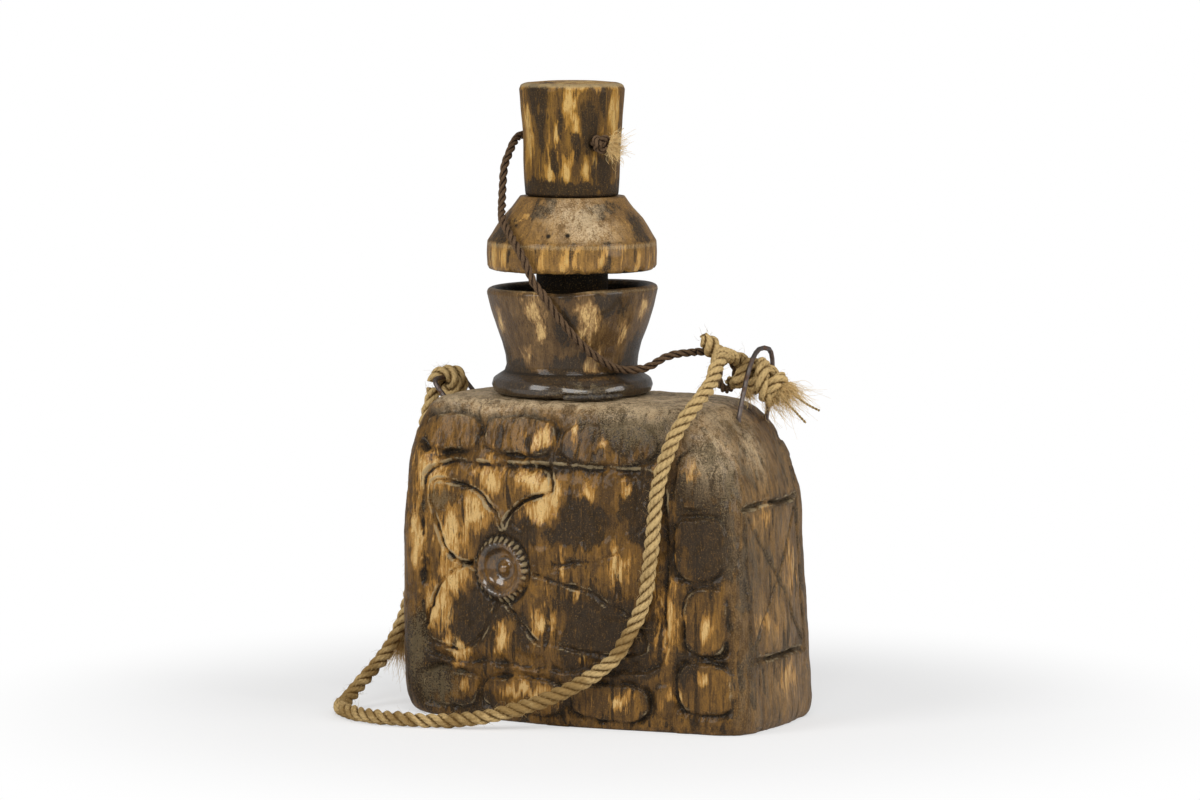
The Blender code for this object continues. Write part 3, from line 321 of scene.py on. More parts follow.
TETHER_ROUTE = (
    (0.0012, -0.0125, 0.2553), (-0.0070, -0.0065, 0.2553), (-0.0160, 0.0000, 0.2553),
    (-0.0260, 0.0073, 0.2553), (-0.0352, 0.0140, 0.2554), (-0.0400, 0.0157, 0.2562),
    (-0.0441, 0.0108, 0.2572), (-0.0438, 0.0020, 0.2566), (-0.0430, -0.0050, 0.2534),
    (-0.0432, -0.0100, 0.2477), (-0.0430, -0.0135, 0.2430), (-0.0422, -0.0165, 0.2355),
    (-0.0400, -0.0218, 0.2268), (-0.0358, -0.0295, 0.2212), (-0.0303, -0.0352, 0.2168),
    (-0.0222, -0.0412, 0.2093), (-0.0178, -0.0412, 0.2013), (-0.0147, -0.0412, 0.1950),
    (-0.0102, -0.0408, 0.1895), (-0.0071, -0.0387, 0.1838), (-0.0028, -0.0353, 0.1763),
    (0.0017, -0.0305, 0.1692), (0.0057, -0.0257, 0.1636), (0.0108, -0.0188, 0.1580),
    (0.0146, -0.0115, 0.1552), (0.0205, -0.0065, 0.1554), (0.0250, -0.0045, 0.1570),
    (0.0302, -0.0022, 0.1604), (0.0350, 0.0022, 0.1620), (0.0406, 0.0076, 0.1625),
)
STUB_ROUTE = (
    (0.0530, 0.0122, 0.1570), (0.0507, 0.0099, 0.1613), (0.0484, 0.0076, 0.1656),
    (0.0460, 0.0050, 0.1705),
)
HITCH_ROUTE = (
    (0.0411, 0.0081, 0.1626), (0.0443, 0.0114, 0.1627), (0.0478, 0.0149, 0.1623),
    (0.0512, 0.0181, 0.1605), (0.0534, 0.0207, 0.1570), (0.0543, 0.0217, 0.1530),
    (0.0545, 0.0197, 0.1490), (0.0545, 0.0150, 0.1465), (0.0544, 0.0098, 0.1465),
    (0.0541, 0.0057, 0.1487), (0.0539, 0.0039, 0.1520), (0.0541, 0.0044, 0.1552),
)
LEFT_BAR_START = (-0.0808, -0.0012, 0.1449)
LEFT_BAR_END = (-0.0808, 0.0124, 0.1449)
LEFT_WRAP_RADIUS = 0.0045
LEFT_WRAP_TURNS = 2.0
RIGHT_KNOT_START = (0.0580, 0.0130, 0.1558)
RIGHT_KNOT_END = (0.0790, 0.0138, 0.1478)
RIGHT_KNOT_RADIUS = 0.0046
RIGHT_KNOT_TURNS = -3.0
RIGHT_FRAY = ((0.0812, 0.0138, 0.1474), (0.0925, 0.0150, 0.1365))
LEFT_FRAY = ((-0.0975, -0.0096, 0.0270), (-0.1020, -0.0118, 0.0122))
SEAL_START = math.radians(-70.0)
SEAL_SWEEP = math.radians(42.0)
SEAL_REACH = 0.0375
SEAL_Z = 0.1443
SEAL_RADIUS = 0.0016
SEAL_ROWS = 60
SEAL_SIDES = 16

# Loose strands and frayed ends below the right knot
STRAY_STRANDS = {
    "upper_stray_strand": (
        (0.0810, 0.0128, 0.1500), (0.0860, 0.0142, 0.1452), (0.0905, 0.0160, 0.1412),
        (0.0965, 0.0180, 0.1380),
    ),
    "lower_stray_strand": (
        (0.0800, 0.0120, 0.1465), (0.0835, 0.0125, 0.1412), (0.0868, 0.0135, 0.1375),
        (0.0911, 0.0153, 0.1326),
    ),
}
STRAY_STRAND_RADIUS = 0.00055
STRAY_YARNS = 2
STRAY_PITCH = 3.0 * MM
STRAY_SIDES = 8
UNDER_FRAYS = {
    "front_underside_fray": ((0.0655, 0.0085, 0.1452), (0.0690, 0.0062, 0.1388)),
    "rear_underside_fray": ((0.0745, 0.0125, 0.1440), (0.0852, 0.0150, 0.1348)),
}

# Each kind of frayed end: radius at its root, how wide it opens, its number of hairs, and their curl
TAIL_TUFT = (2.4 * MM, 0.30, 520, 0.26)
KNOT_TUFT = (3.0 * MM, 0.34, 560, 0.24)
UNDERSIDE_TUFT = (2.2 * MM, 0.38, 300, 0.30)
CORD_TUFT = (2.6 * MM, 0.80, 620, 0.40)
TUFT_HAIR_RADIUS = 0.00013
CORD_TUFT_HAIR_RADIUS = 0.00019

# Rope that crosses over the right knot's turns
CROSSING_RADIUS = 0.0064
CROSSING_TURNS = 1.15
CROSSING_START_TURN = math.radians(150.0)

# The overhand knot that stops the cord at the knob. Its scale and its fray's places are in millimetres
STOP_KNOT_REACH = 0.0272
STOP_KNOT_STEPS = 120
STOP_KNOT_SCALE = 0.93
STOP_KNOT_RADIUS = 1.75 * MM
STOP_KNOT_PITCH = 6.0 * MM
STOP_FRAY_START = 5.4
STOP_FRAY_LENGTH = 7.0

# Warm reflections of oiled and smoked wood
WAX_TINT = (1.0, 0.80, 0.55, 1.0)

# How strands and yarns are laid, and how many loose hairs stand off a metre of rope
ROPE_STRANDS = 3
ROPE_SIDES = 24
ROPE_STEP = 0.8 * MM
CORD_SIDES = 12
CORD_STEP = 0.5 * MM
ROPE_PATH_STEP = 4.0 * MM
CORD_PATH_STEP = 2.5 * MM
ROPE_HAIRS = 2600
KNOT_HAIRS = 3200
STRAND_PLUMPNESS = 1.15
ROPE_YARNS = 6
YARN_TWIST = 55.0
YARN_RELIEF = 0.13
HAIR_RADIUS = 0.00008
FLOOR_CLEARANCE = 0.0002


def sizes():
    """The sizes that the user can change in the sidebar."""
    return bpy.context.scene.flask_sizes


def colours():
    """The colours that the user can change in the sidebar."""
    return bpy.context.scene.flask_colours


# Numbers over a surface


def fade(values, low, high):
    """0 at low, 1 at high, and smooth between them."""
    share = np.clip((values - low) / (high - low), 0.0, 1.0)
    return share * share * (3.0 - 2.0 * share)


def cloud(points, size, octaves=3, seed=0):
    """Smooth noise at each point, about -1 to 1, with lumps of this size."""
    shift = Vector((7.13, -3.71, 5.39)) * seed
    return np.array([noise.fractal(Vector(p) / size + shift, 1.0, 2.0, octaves) for p in points])


def spread(points, spots):
    """How deep each point lies in the nearest of the spots: 1 in a middle, and 0 well outside."""
    found = np.zeros(len(points))
    for x, y, z, across, up in spots:
        aside = np.hypot(points[:, 0] - x * MM, points[:, 1] - y * MM) / (across * MM)
        above = (points[:, 2] - z * MM) / (up * MM)
        found = np.maximum(found, np.exp(-0.7 * (aside ** 2 + above ** 2)))
    return found


def both_faces(spots):
    """The same spots on the front and, turned half round, on the back."""
    return spots + tuple((-x, -y, z, across, up) for x, y, z, across, up in spots)


def faced_place(turn_degrees, radius, height):
    """A place on a turned piece, by its turn from the side that faces the camera. Millimetres."""
    turn = math.radians(turn_degrees)
    place = TOWARDS_CAMERA * math.cos(turn) + ACROSS_VIEW * math.sin(turn)
    return NECK.x / MM + place.x * radius, place.y * radius, height


def faced_spots(spots):
    """Spots on a turned piece, moved from their turns and radii to where they are."""
    return [(*faced_place(*spot[:3]), *spot[3:]) for spot in spots]


def neck_radius(points):
    """How far each point is from the neck's axis."""
    return np.hypot(points[:, 0] - NECK.x, points[:, 1])


def oval_distance(across, up, sides, power):
    """How far each point lies outside a rounded box, and negative inside it."""
    left, right, foot, top = sides
    aside, above = across - (left + right) / 2.0, up - (foot + top) / 2.0
    shares = np.abs(2.0 * aside / (right - left)), np.abs(2.0 * above / (top - foot))
    reach = (shares[0] ** power + shares[1] ** power) ** (1.0 / power)
    return np.hypot(aside, above) * (1.0 - 1.0 / np.maximum(reach, 0.05))


def line_distance(across, up, line):
    """How far each point lies from a line of points."""
    found = np.full(len(across), 1.0)
    for (ax, az), (bx, bz) in zip(line, line[1:]):
        way_x, way_z = bx - ax, bz - az
        share = ((across - ax) * way_x + (up - az) * way_z) / (way_x ** 2 + way_z ** 2)
        share = np.clip(share, 0.0, 1.0)
        found = np.minimum(found, np.hypot(across - ax - way_x * share, up - az - way_z * share))
    return found


def gouge(distance, width):
    """1 where the distance is nought, and almost 0 at twice the width."""
    return np.exp(-((distance / width) ** 2))


# Lines and meshes


def curve_point(a, b, c, d, t):
    """A place between b and c on the smooth curve through four points."""
    bend = (c - a) * t + (a * 2 - b * 5 + c * 4 - d) * t ** 2 + (b * 3 - a - c * 3 + d) * t ** 3
    return b + bend / 2


def smooth_route(route, step):
    """Points about a step apart on a smooth curve through a route's own points."""
    places = [np.array(p, float) for p in route]
    last = len(places) - 1
    fine = []
    for i in range(last):
        a, b, c, d = (places[min(max(i + k, 0), last)] for k in (-1, 0, 1, 2))
        fine += [curve_point(a, b, c, d, k / 8) for k in range(8)]
    fine.append(places[-1])
    return even_points(np.array(fine), step)


def even_points(points, step):
    """The same line with its points about a step apart."""
    lengths = np.concatenate([[0.0], np.cumsum(np.linalg.norm(np.diff(points, axis=0), axis=1))])
    targets = np.linspace(0.0, lengths[-1], max(3, round(lengths[-1] / step) + 1))
    return np.stack([np.interp(targets, lengths, points[:, k]) for k in range(points.shape[1])], axis=1)


def route_length(points):
    return float(np.linalg.norm(np.diff(points, axis=0), axis=1).sum())


def coil_points(start, end, radius, turns, start_turn, steps=40):
    """A helix about the line between two points, with its start's angle measured from up."""
    start, end = Vector(start), Vector(end)
    axis = (end - start).normalized()
    up = (Vector((0.0, 0.0, 1.0)) - axis * axis.z).normalized()
    side = axis.cross(up)
    count = round(abs(turns) * steps)
    points = []
    for i in range(count + 1):
        share = i / count
        turn = start_turn + 2.0 * math.pi * turns * share
        points.append(start.lerp(end, share) + (up * math.cos(turn) + side * math.sin(turn)) * radius)
    return np.array(points)


def carried_sides(points):
    """Two directions across a line at each of its points, carried along it without a twist."""
    ways = np.gradient(points, axis=0)
    ways /= np.linalg.norm(ways, axis=1)[:, None]
    first = np.cross(ways[0], (0.31, 0.22, 0.92))
    first /= np.linalg.norm(first)
    sides = [first]
    for way in ways[1:]:
        side = sides[-1] - way * np.dot(sides[-1], way)
        sides.append(side / np.linalg.norm(side))
    sides = np.array(sides)
    return sides, np.cross(ways, sides)


def ring_faces(rows, columns):
    """Four-sided faces between neighbouring rings that close on themselves."""
    row = np.arange(rows - 1)[:, None] * columns
    here = np.arange(columns)
    beside = (here + 1) % columns
    corners = [row + here, row + beside, row + columns + beside, row + columns + here]
    return np.stack(np.broadcast_arrays(*corners), axis=-1).reshape(-1, 4)


def end_caps(rows, columns, start=0):
    """Flat faces on the first and the last ring of a tube."""
    last = start + (rows - 1) * columns
    return [list(range(start, start + columns))[::-1], list(range(last, last + columns))]


def ring_ways(across, over, spin):
    """Directions all round a line, at each of its points."""
    return across[:, None] * np.cos(spin)[None, :, None] + over[:, None] * np.sin(spin)[None, :, None]


def new_object(name, points, faces, material):
    mesh = bpy.data.meshes.new(name)
    mesh.from_pydata(np.asarray(points).tolist(), [], faces)
    mesh.shade_smooth()
    mesh.materials.append(material)
    item = bpy.data.objects.new(name, mesh)
    bpy.context.scene.collection.objects.link(item)
    return item


def set_values(item, name, values):
    """One number at each of the mesh's points, for its material."""
    layer = item.data.attributes.new(name, "FLOAT", "POINT")
    layer.data.foreach_set("value", np.asarray(values, np.float32).ravel())


def finish_piece(item, nodes, body="bottle"):
    """The piece rides on its body and stands for the frame's own nodes."""
    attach(item, body)
    if nodes:
        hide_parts(*nodes)
    return item


def twisted(points, radius, strands, pitch, sides, yarns=0, roughen=0.0, seed=1, end_share=1.0):
    """Rings of all strands of a laid rope, where each face lies on its strand, and how far out it is, which
    the rope's material paints as light on the crowns and shade between the strands.
    """
    rng = np.random.default_rng(seed)
    across, over = carried_sides(points)
    along = np.concatenate([[0.0], np.cumsum(np.linalg.norm(np.diff(points, axis=0), axis=1))])
    narrow = math.sin(math.pi / strands)
    strand_radius = radius * narrow / (1.0 + narrow)
    offset = radius - strand_radius
    rows = len(points)
    ends = end_share + (1.0 - end_share) * fade(np.minimum(along, along[-1] - along), 0.0, radius * 1.2)
    round_strand = np.arange(sides) / sides
    spin = 2.0 * math.pi * round_strand
    around = ring_ways(across, over, spin)
    all_points, all_faces, all_lay, all_crown_shading = [], [], [], []
    for k in range(strands):
        turn = 2.0 * math.pi * (along / pitch + k / strands)
        wander = 1.0 + roughen * np.interp(along, along[::6], rng.uniform(-1.0, 1.0, len(along[::6])))
        out = across * np.cos(turn)[:, None] + over * np.sin(turn)[:, None]
        centre = points + offset * out * ends[:, None]
        width = (strand_radius * STRAND_PLUMPNESS * wander * ends)[:, None]
        if yarns:
            yarn_turn = 2.0 * math.pi * yarns * (round_strand[None] + YARN_TWIST * along[:, None])
            width = width * (0.97 + YARN_RELIEF * np.abs(np.cos(yarn_turn / 2.0)))
        rings = centre[:, None] + around * (width * np.ones(sides))[:, :, None]
        start = k * rows * sides
        all_points.append(rings.reshape(-1, 3))
        all_faces.append(ring_faces(rows, sides) + start)
        row = np.repeat(np.arange(rows - 1), sides)
        column = np.tile(round_strand, rows - 1)
        near, far = along[row], along[row + 1]
        beside = column + 1 / sides
        lay = np.stack([near, column, near, beside, far, beside, far, column], axis=1)
        all_lay.append(lay.reshape(-1, 4, 2))
        all_crown_shading.append(np.cos(spin[None] - turn[:, None]).ravel())
    parts = (all_points, all_faces, all_lay, all_crown_shading)
    return (*(np.concatenate(part) for part in parts), rows)


def rope_object(name, points, material, radius, strands, pitch, sides, **options):
    """A laid rope as one mesh: its strands, with a flat end at both ends of each."""
    places, faces, lay, crown_shading, rows = twisted(points, radius, strands, pitch, sides, **options)
    ends = []
    for k in range(strands):
        ends += end_caps(rows, sides, k * rows * sides)
    item = new_object(name, places, faces.tolist() + ends, material)
    layer = item.data.uv_layers.new(name="lay")
    flat = np.zeros((len(item.data.loops), 2), np.float32)
    flat[: len(lay) * 4] = lay.reshape(-1, 2)
    layer.data.foreach_set("uv", flat.ravel())
    set_values(item, "crown_shading", crown_shading)
    return item


def fibre_object(name, roots, ways, lengths, material, radius, curl, seed, rings=5):
    """Fine hairs, each a bent tube of three sides that narrows to its tip."""
    rng = np.random.default_rng(seed)
    count = len(roots)
    ways = ways / np.linalg.norm(ways, axis=1)[:, None]
    bend = rng.normal(0.0, 1.0, (count, 3))
    sway = rng.normal(0.0, 1.0, (count, 3))
    phase = rng.uniform(0.0, 2.0 * math.pi, count)
    side = np.cross(ways, rng.normal(0.0, 1.0, (count, 3)))
    side /= np.linalg.norm(side, axis=1)[:, None]
    over = np.cross(ways, side)
    places = []
    for i in range(rings):
        share = i / (rings - 1)
        reach = lengths[:, None] * (ways * share + curl * (bend * share ** 2))
        swing = (np.sin(share * 5.0 + phase) - np.sin(phase))[:, None]
        reach += lengths[:, None] * curl * 0.4 * sway * swing
        width = radius * (1.0 - 0.75 * share)
        for k in range(3):
            spin = 2.0 * math.pi * k / 3.0
            places.append(roots + reach + width * (side * math.cos(spin) + over * math.sin(spin)))
    points = np.stack(places, axis=1).reshape(-1, 3)
    one = ring_faces(rings, 3)
    faces = (np.arange(count)[:, None, None] * rings * 3 + one[None]).reshape(-1, 4)
    return new_object(name, points, faces.tolist(), material)


# Materials


class Value:
    """A number in a material, with Python's own arithmetic."""

    def __init__(self, nodes, socket):
        self.nodes = nodes
        self.socket = socket

    def _math(self, operation, first, second):
        return self.nodes.node("ShaderNodeMath", {"operation": operation}, {0: first, 1: second})

    def __add__(self, other):
        return self._math("ADD", self, other)

    def __radd__(self, other):
        return self._math("ADD", other, self)

    def __sub__(self, other):
        return self._math("SUBTRACT", self, other)

    def __rsub__(self, other):
        return self._math("SUBTRACT", other, self)

    def __mul__(self, other):
        return self._math("MULTIPLY", self, other)

    def __rmul__(self, other):
        return self._math("MULTIPLY", other, self)


class Nodes:
    """The nodes of a material or of the world."""

    def __init__(self, tree):
        self.tree = tree

    def node(self, kind, settings=None, inputs=None, output=0):
        """A node of a kind: its settings are set first, then the values or links of its sockets."""
        made = self.tree.nodes.new(kind)
        for name, value in (settings or {}).items():
            setattr(made, name, value)
        for name, value in (inputs or {}).items():
            self.feed(made.inputs[name], value)
        return Value(self, made.outputs[output])

    def feed(self, socket, value):
        if isinstance(value, Value):
            self.tree.links.new(value.socket, socket)
        else:
            socket.default_value = value


class Paint(Nodes):
    """A material in the making, whose surface is one Principled shader."""

    def __init__(self, name):
        self.material = bpy.data.materials.new(name)
        self.material.use_nodes = True
        super().__init__(self.material.node_tree)
        self.shader = self.tree.nodes["Principled BSDF"]

    def set(self, **values):
        for name, value in values.items():
            self.feed(self.shader.inputs[name.replace("_", " ").title().replace("Ior", "IOR")], value)

    def value_of(self, name):
        """A number that the mesh carries at its points."""
        return self.node("ShaderNodeAttribute", {"attribute_name": name}, output="Fac")

    def place(self, stretch=(1.0, 1.0, 1.0)):
        """Where the surface is, in metres, stretched along each axis."""
        place = self.node("ShaderNodeTexCoord", output="Object")
        return self.node("ShaderNodeVectorMath", {"operation": "MULTIPLY"}, {0: place, 1: stretch})

    def axis(self, vector, index):
        """One of a vector's three numbers."""
        return self.node("ShaderNodeSeparateXYZ", {}, {0: vector}, output=index)

    def noise(self, place, scale=1.0, detail=3.0, roughness=0.55, distortion=0.0):
        inputs = {"Vector": place, "Scale": scale, "Detail": detail, "Roughness": roughness}
        inputs["Distortion"] = distortion
        return self.node("ShaderNodeTexNoise", {}, inputs)

    def fade(self, value, low, high):
        """0 at low, 1 at high, and smooth between them."""
        inputs = {"Value": value, "From Min": low, "From Max": high}
        return self.node("ShaderNodeMapRange", {"interpolation_type": "SMOOTHSTEP"}, inputs)

    def mix(self, share, first, second):
        """From the first colour to the second."""
        inputs = {0: share, 6: rgba(first), 7: rgba(second)}
        return self.node("ShaderNodeMix", {"data_type": "RGBA"}, inputs, output=2)

    def over(self, colour, tone, value, low, high, strength):
        """A colour with a tone laid over it where a value passes from low to high."""
        return self.mix(self.fade(value, low, high) * strength, colour, tone)

    def sine(self, value):
        return self.node("ShaderNodeMath", {"operation": "SINE"}, {0: value})

    def distance(self, centre):
        """How far the surface is from a point, in metres."""
        inputs = {0: self.node("ShaderNodeTexCoord", output="Object"), 1: centre}
        return self.node("ShaderNodeVectorMath", {"operation": "DISTANCE"}, inputs, output="Value")

    def spot(self, centre, radius):
        """1 at a point in space, falling to 0 at a radius."""
        return self.fade(self.distance(centre), radius, radius * 0.35)

    def bump(self, height, strength, distance):
        """The surface's slope from a height, which feeds the shader's Normal."""
        inputs = {"Strength": strength, "Distance": distance, "Height": height}
        self.set(normal=self.node("ShaderNodeBump", {}, inputs))


def rgba(colour):
    return colour if isinstance(colour, Value) else (*colour[:3], 1.0)


def wood_paint(name, tones, pale_start, dark_start, gloss=0.36, shine=0.10, mottle=(150.0, 60.0), painted_hole_shades=()):
    """Old oiled wood with its grain upright: torn pale flecks, smoky patina, dirt and painted shade in the
    hollows, and a whitish haze with painted sheen.
    """
    paint = Paint(name)
    pale, light, deep, dark = tones
    amber = [c * 1.75 for c in light]
    black = [c * 0.4 for c in dark]
    dirt_and_shade, lip, glossy, haze_and_sheen, worn, smoky, grit = (
        paint.value_of(value) for value in ("dirt_and_shade", "lip", "glossy", "haze_and_sheen", "pale", "dark", "grit")
    )
    across, up = mottle
    broad = paint.noise(paint.place((75.0, 75.0, 38.0)), detail=3.0, distortion=0.5)
    grain = paint.noise(paint.place((420.0, 420.0, 17.0)), detail=5.0, roughness=0.64, distortion=0.12)
    streak = paint.noise(paint.place((1150.0, 1150.0, 75.0)), detail=4.0, roughness=0.68, distortion=0.2)
    fleck = paint.noise(paint.place((330.0, 330.0, 90.0)), detail=5.0, roughness=0.64, distortion=0.30)
    crumbs = paint.noise(paint.place(), scale=1500.0, detail=3.0, roughness=0.75)
    crust = paint.noise(paint.place(), scale=2600.0, detail=3.0, roughness=0.80)
    stain = paint.noise(paint.place((across, across, up)), detail=7.0, roughness=0.72, distortion=0.8)
    ember = paint.noise(paint.place((900.0, 900.0, 210.0)), detail=4.0, roughness=0.70, distortion=0.5)

    colour = paint.mix(paint.fade(grain * 0.28 + stain * 0.54 + streak * 0.18, 0.43, 0.60), deep, light)
    paleness = fleck * 0.50 + broad * 0.22 + streak * 0.28 + worn * 0.24 + lip * 0.12
    paleness = paleness - smoky * 0.12 - dirt_and_shade * 0.12 - grit * 0.08
    bare_wood = paint.mix(paint.fade(streak * 0.55 + grain * 0.45, 0.42, 0.58), amber, pale)
    for low, high, strength, tone in (
        (-0.050, 0.015, 0.85, amber),
        (0.010, 0.060, 0.60, bare_wood),
        (0.070, 0.110, 0.85, pale),
    ):
        colour = paint.over(colour, tone, paleness, pale_start + low, pale_start + high, strength)

    # The hollows add to the darkness: dirt and painted shade
    darkness = stain * 0.48 + broad * 0.24 + streak * 0.28 + smoky * 0.25 + dirt_and_shade * 0.20 - worn * 0.10
    dark_share = paint.fade(darkness, dark_start, dark_start + 0.055)
    smoked = paint.over(dark, deep, ember, 0.52, 0.64, 0.60)
    smoked = paint.over(smoked, light, ember * 0.7 + streak * 0.3, 0.60, 0.67, 0.80)
    smoked = paint.over(smoked, colours().dust, crust * 0.6 + crumbs * 0.4, 0.54, 0.66, 0.50)
    colour = paint.mix(dark_share * 0.92, colour, smoked)
    # Hollows are painted near black: dirt, and painted shade where the light can't reach
    colour = paint.over(colour, black, dirt_and_shade + crumbs * 0.5, 0.72, 1.05, 0.95)

    dusty = paint.fade(crumbs * 0.9 + dirt_and_shade * 0.16 + grit * 0.30 + lip * 0.06, 0.64, 0.76)
    colour = paint.mix(dusty * 0.70, colour, colours().dust)
    speck = crumbs * 0.55 + crust * 0.45
    colour = paint.over(colour, dark, speck, 0.46, 0.38, 0.60)
    colour = paint.over(colour, amber, speck, 0.54, 0.64, 0.45)
    colour = paint.over(colour, colours().torn, lip * 0.60 + crust * 0.50 + crumbs * 0.50, 0.66, 0.92, 0.72)
    colour = paint.over(colour, [c * 0.7 for c in dark], streak, 0.39, 0.32, 0.75)
    powder = paint.fade(stain * 0.42 + fleck * 0.22 + crumbs * 0.36, 0.43, 0.57)
    # A whitish haze, which also paints the sheen on the top, the shoulders and the collar's cone
    colour = paint.mix(haze_and_sheen * (powder * 1.10 + 0.14), colour, colours().haze_and_sheen)
    # Worm holes are painted as black dots: the painted shade inside holes that the mesh doesn't cut
    for pit in painted_hole_shades:
        colour = paint.mix(paint.spot(pit, WORM_HOLE_RADIUS), colour, black)

    roughness = gloss + streak * 0.14 + dirt_and_shade * 0.25 + dusty * 0.25 - glossy * 0.10
    paint.set(base_color=colour, roughness=roughness, specular_ior_level=0.24, specular_tint=WAX_TINT)
    paint.set(coat_weight=shine + glossy * 0.75 - dusty * 0.1, coat_roughness=0.11, coat_ior=1.7)
    height = grain * 0.4 + streak * 0.6 + fleck * 0.5 + crust * dark_share * 0.4
    height = height + crumbs * (dirt_and_shade * 0.5 + grit * 0.8 + lip * 0.5 + 0.18)
    paint.bump(height * (1.0 - glossy * 0.75), 0.80, 0.0013)
    return paint.material


def rope_paint(name, light, deep, soil, soil_start=0.55):
    """Hairy plant fibre: yarns that spiral round each strand, painted lighter on the strands' crowns and
    darker between them as painted light and shade, and soiled in places.
    """
    paint = Paint(name)
    lay = paint.node("ShaderNodeAttribute", {"attribute_name": "lay"}, output="Vector")
    along, around = paint.axis(lay, 0), paint.axis(lay, 1)
    wave = paint.sine((around + along * YARN_TWIST) * (2.0 * math.pi * ROPE_YARNS)) * 0.5 + 0.5
    hair = paint.noise(paint.place(), scale=2300.0, detail=4.0, roughness=0.75)
    lump = paint.noise(paint.place(), scale=420.0, detail=5.0, roughness=0.65)
    patch = paint.noise(paint.place(), scale=60.0, detail=4.0, distortion=0.4)
    crown_shading = paint.fade(paint.value_of("crown_shading"), -0.3, 0.45)
    # The strands are painted lighter on their crowns and darker where they meet: painted light and shade
    tone = paint.fade(crown_shading * 0.32 + wave * 0.14 + hair * 0.80 + lump * 0.70, 0.74, 1.22)
    colour = paint.mix(tone, deep, light)
    low = paint.fade(paint.axis(paint.place(), 2), 0.080, 0.015) * 0.13
    dirty = paint.fade(patch * 0.70 + hair * 0.30 + low, soil_start, soil_start + 0.12)
    colour = paint.mix(dirty * 0.75, colour, soil)
    paint.set(base_color=colour, roughness=0.88, specular_ior_level=0.15)
    paint.bump(wave * 0.4 + hair * 1.2 + lump * 0.7, 0.90, 0.00065)
    return paint.material


def plain_fibre_paint(name, light, deep):
    """Fine loose fibres, too thin to show how they are laid."""
    paint = Paint(name)
    hair = paint.noise(paint.place((700.0, 700.0, 700.0)), detail=2.0)
    colour = paint.mix(paint.fade(hair, 0.35, 0.65), deep, light)
    paint.set(base_color=colour, roughness=0.85, specular_ior_level=0.25)
    paint.bump(hair, 0.2, 0.0001)
    return paint.material


def iron_paint():
    """Old forged wire, brown with rust and dark with handling."""
    paint = Paint("rusted_wire")
    scale = paint.noise(paint.place(), scale=900.0, detail=4.0, roughness=0.65)
    patch = paint.noise(paint.place(), scale=240.0, detail=3.0)
    rust = paint.fade(patch * 0.7 + scale * 0.3, 0.44, 0.60)
    colour = paint.mix(rust, colours().iron, colours().rust)
    paint.set(base_color=colour, roughness=0.42 + rust * 0.35, metallic=0.85 - rust * 0.75)
    paint.bump(scale + patch * 0.5, 0.55, 0.0003)
    return paint.material


def resin_paint():
    """Dark crumbly resin, glossy where it isn't dusty."""
    paint = Paint("dark_resin")
    grain = paint.noise(paint.place(), scale=1100.0, detail=4.0, roughness=0.7)
    patch = paint.noise(paint.place(), scale=300.0, detail=3.0)
    dusty = paint.fade(grain, 0.50, 0.62)
    colour = paint.mix(dusty * 0.7, colours().resin, colours().dust)
    paint.set(base_color=colour, roughness=0.34 + dusty * 0.4)
    paint.bump(grain + patch, 0.7, 0.0006)
    return paint.material


# The carved block


def shoulder_share(z):
    """How far the shoulder has rounded in at a height: 0 below it, and nearly 1 at the top."""
    rise = np.clip((z - (BODY_HEIGHT - SHOULDER_DROP)) / SHOULDER_DROP, 0.0, 1.0)
    return 1.0 - np.sqrt(1.0 - rise ** 2 * (1.0 - TOP_FLAT_SHARE))


def foot_share(z, height):
    """How far the wall tucks in near the floor: 1 on the floor, and 0 from a height up."""
    return 1.0 - np.sqrt(1.0 - np.clip((height - z) / height, 0.0, 1.0) ** 2)


def wall_insets(z):
    """Inset of the left, right and front or back wall from the widest outline at a height."""
    taper = TAPER_INSET * np.maximum((z - TAPER_START) / (BODY_HEIGHT - TAPER_START), 0.0) ** 2
    foot = FOOT_INSET * foot_share(z, FOOT_HEIGHT)
    tuck = LEFT_TUCK_INSET * foot_share(z, LEFT_TUCK_HEIGHT)
    lean = RIGHT_LEAN_INSET * z / BODY_HEIGHT - RIGHT_FLARE
    shoulder = shoulder_share(z)
    left = taper + foot + tuck + SHOULDER_INSET_LEFT * shoulder
    right = lean + foot + SHOULDER_INSET_RIGHT * shoulder
    return left, right, foot + SHOULDER_INSET_DEPTH * shoulder


def block_ring(z, wall, height):
    """One level section of the block, anticlockwise from its front left corner, set at a height."""
    left_inset, right_inset, depth_inset = wall_insets(z)
    left, right = BODY_HALF_WIDTH - wall - left_inset, BODY_HALF_WIDTH - wall - right_inset
    deep, corner = BODY_HALF_DEPTH - wall - depth_inset, CORNER_RADIUS - wall / 2.0
    front, end, back, front_corner, back_corner = BLOCK_COUNTS
    walls = (
        ((corner - left, -deep), (right - corner, -deep), front, front_corner),
        ((right, corner - deep), (right, deep - corner), end, back_corner),
        ((right - corner, deep), (corner - left, deep), back, back_corner),
        ((-left, deep - corner), (-left, corner - deep), end, front_corner),
    )
    rings = []
    for start, stop, count, corner_count in walls:
        start, stop = np.array(start), np.array(stop)
        length = np.linalg.norm(stop - start)
        along = (stop - start) / length
        outward = np.array((along[1], -along[0]))
        share = np.linspace(0.0, 1.0, count + 1)[:, None]
        swell = WALL_BULGE * length / (2.0 * BODY_HALF_WIDTH)
        bell = (1.0 + np.cos(math.pi * (2.0 * share - 1.0))) / 2.0
        rings.append(start + (stop - start) * share + outward * swell * bell)
        turn = (math.pi / 2.0 * np.arange(1, corner_count) / corner_count)[:, None]
        rings.append(stop - outward * corner + (outward * np.cos(turn) + along * np.sin(turn)) * corner)
    flat = np.concatenate(rings)
    return np.column_stack([flat, np.full(len(flat), height)])


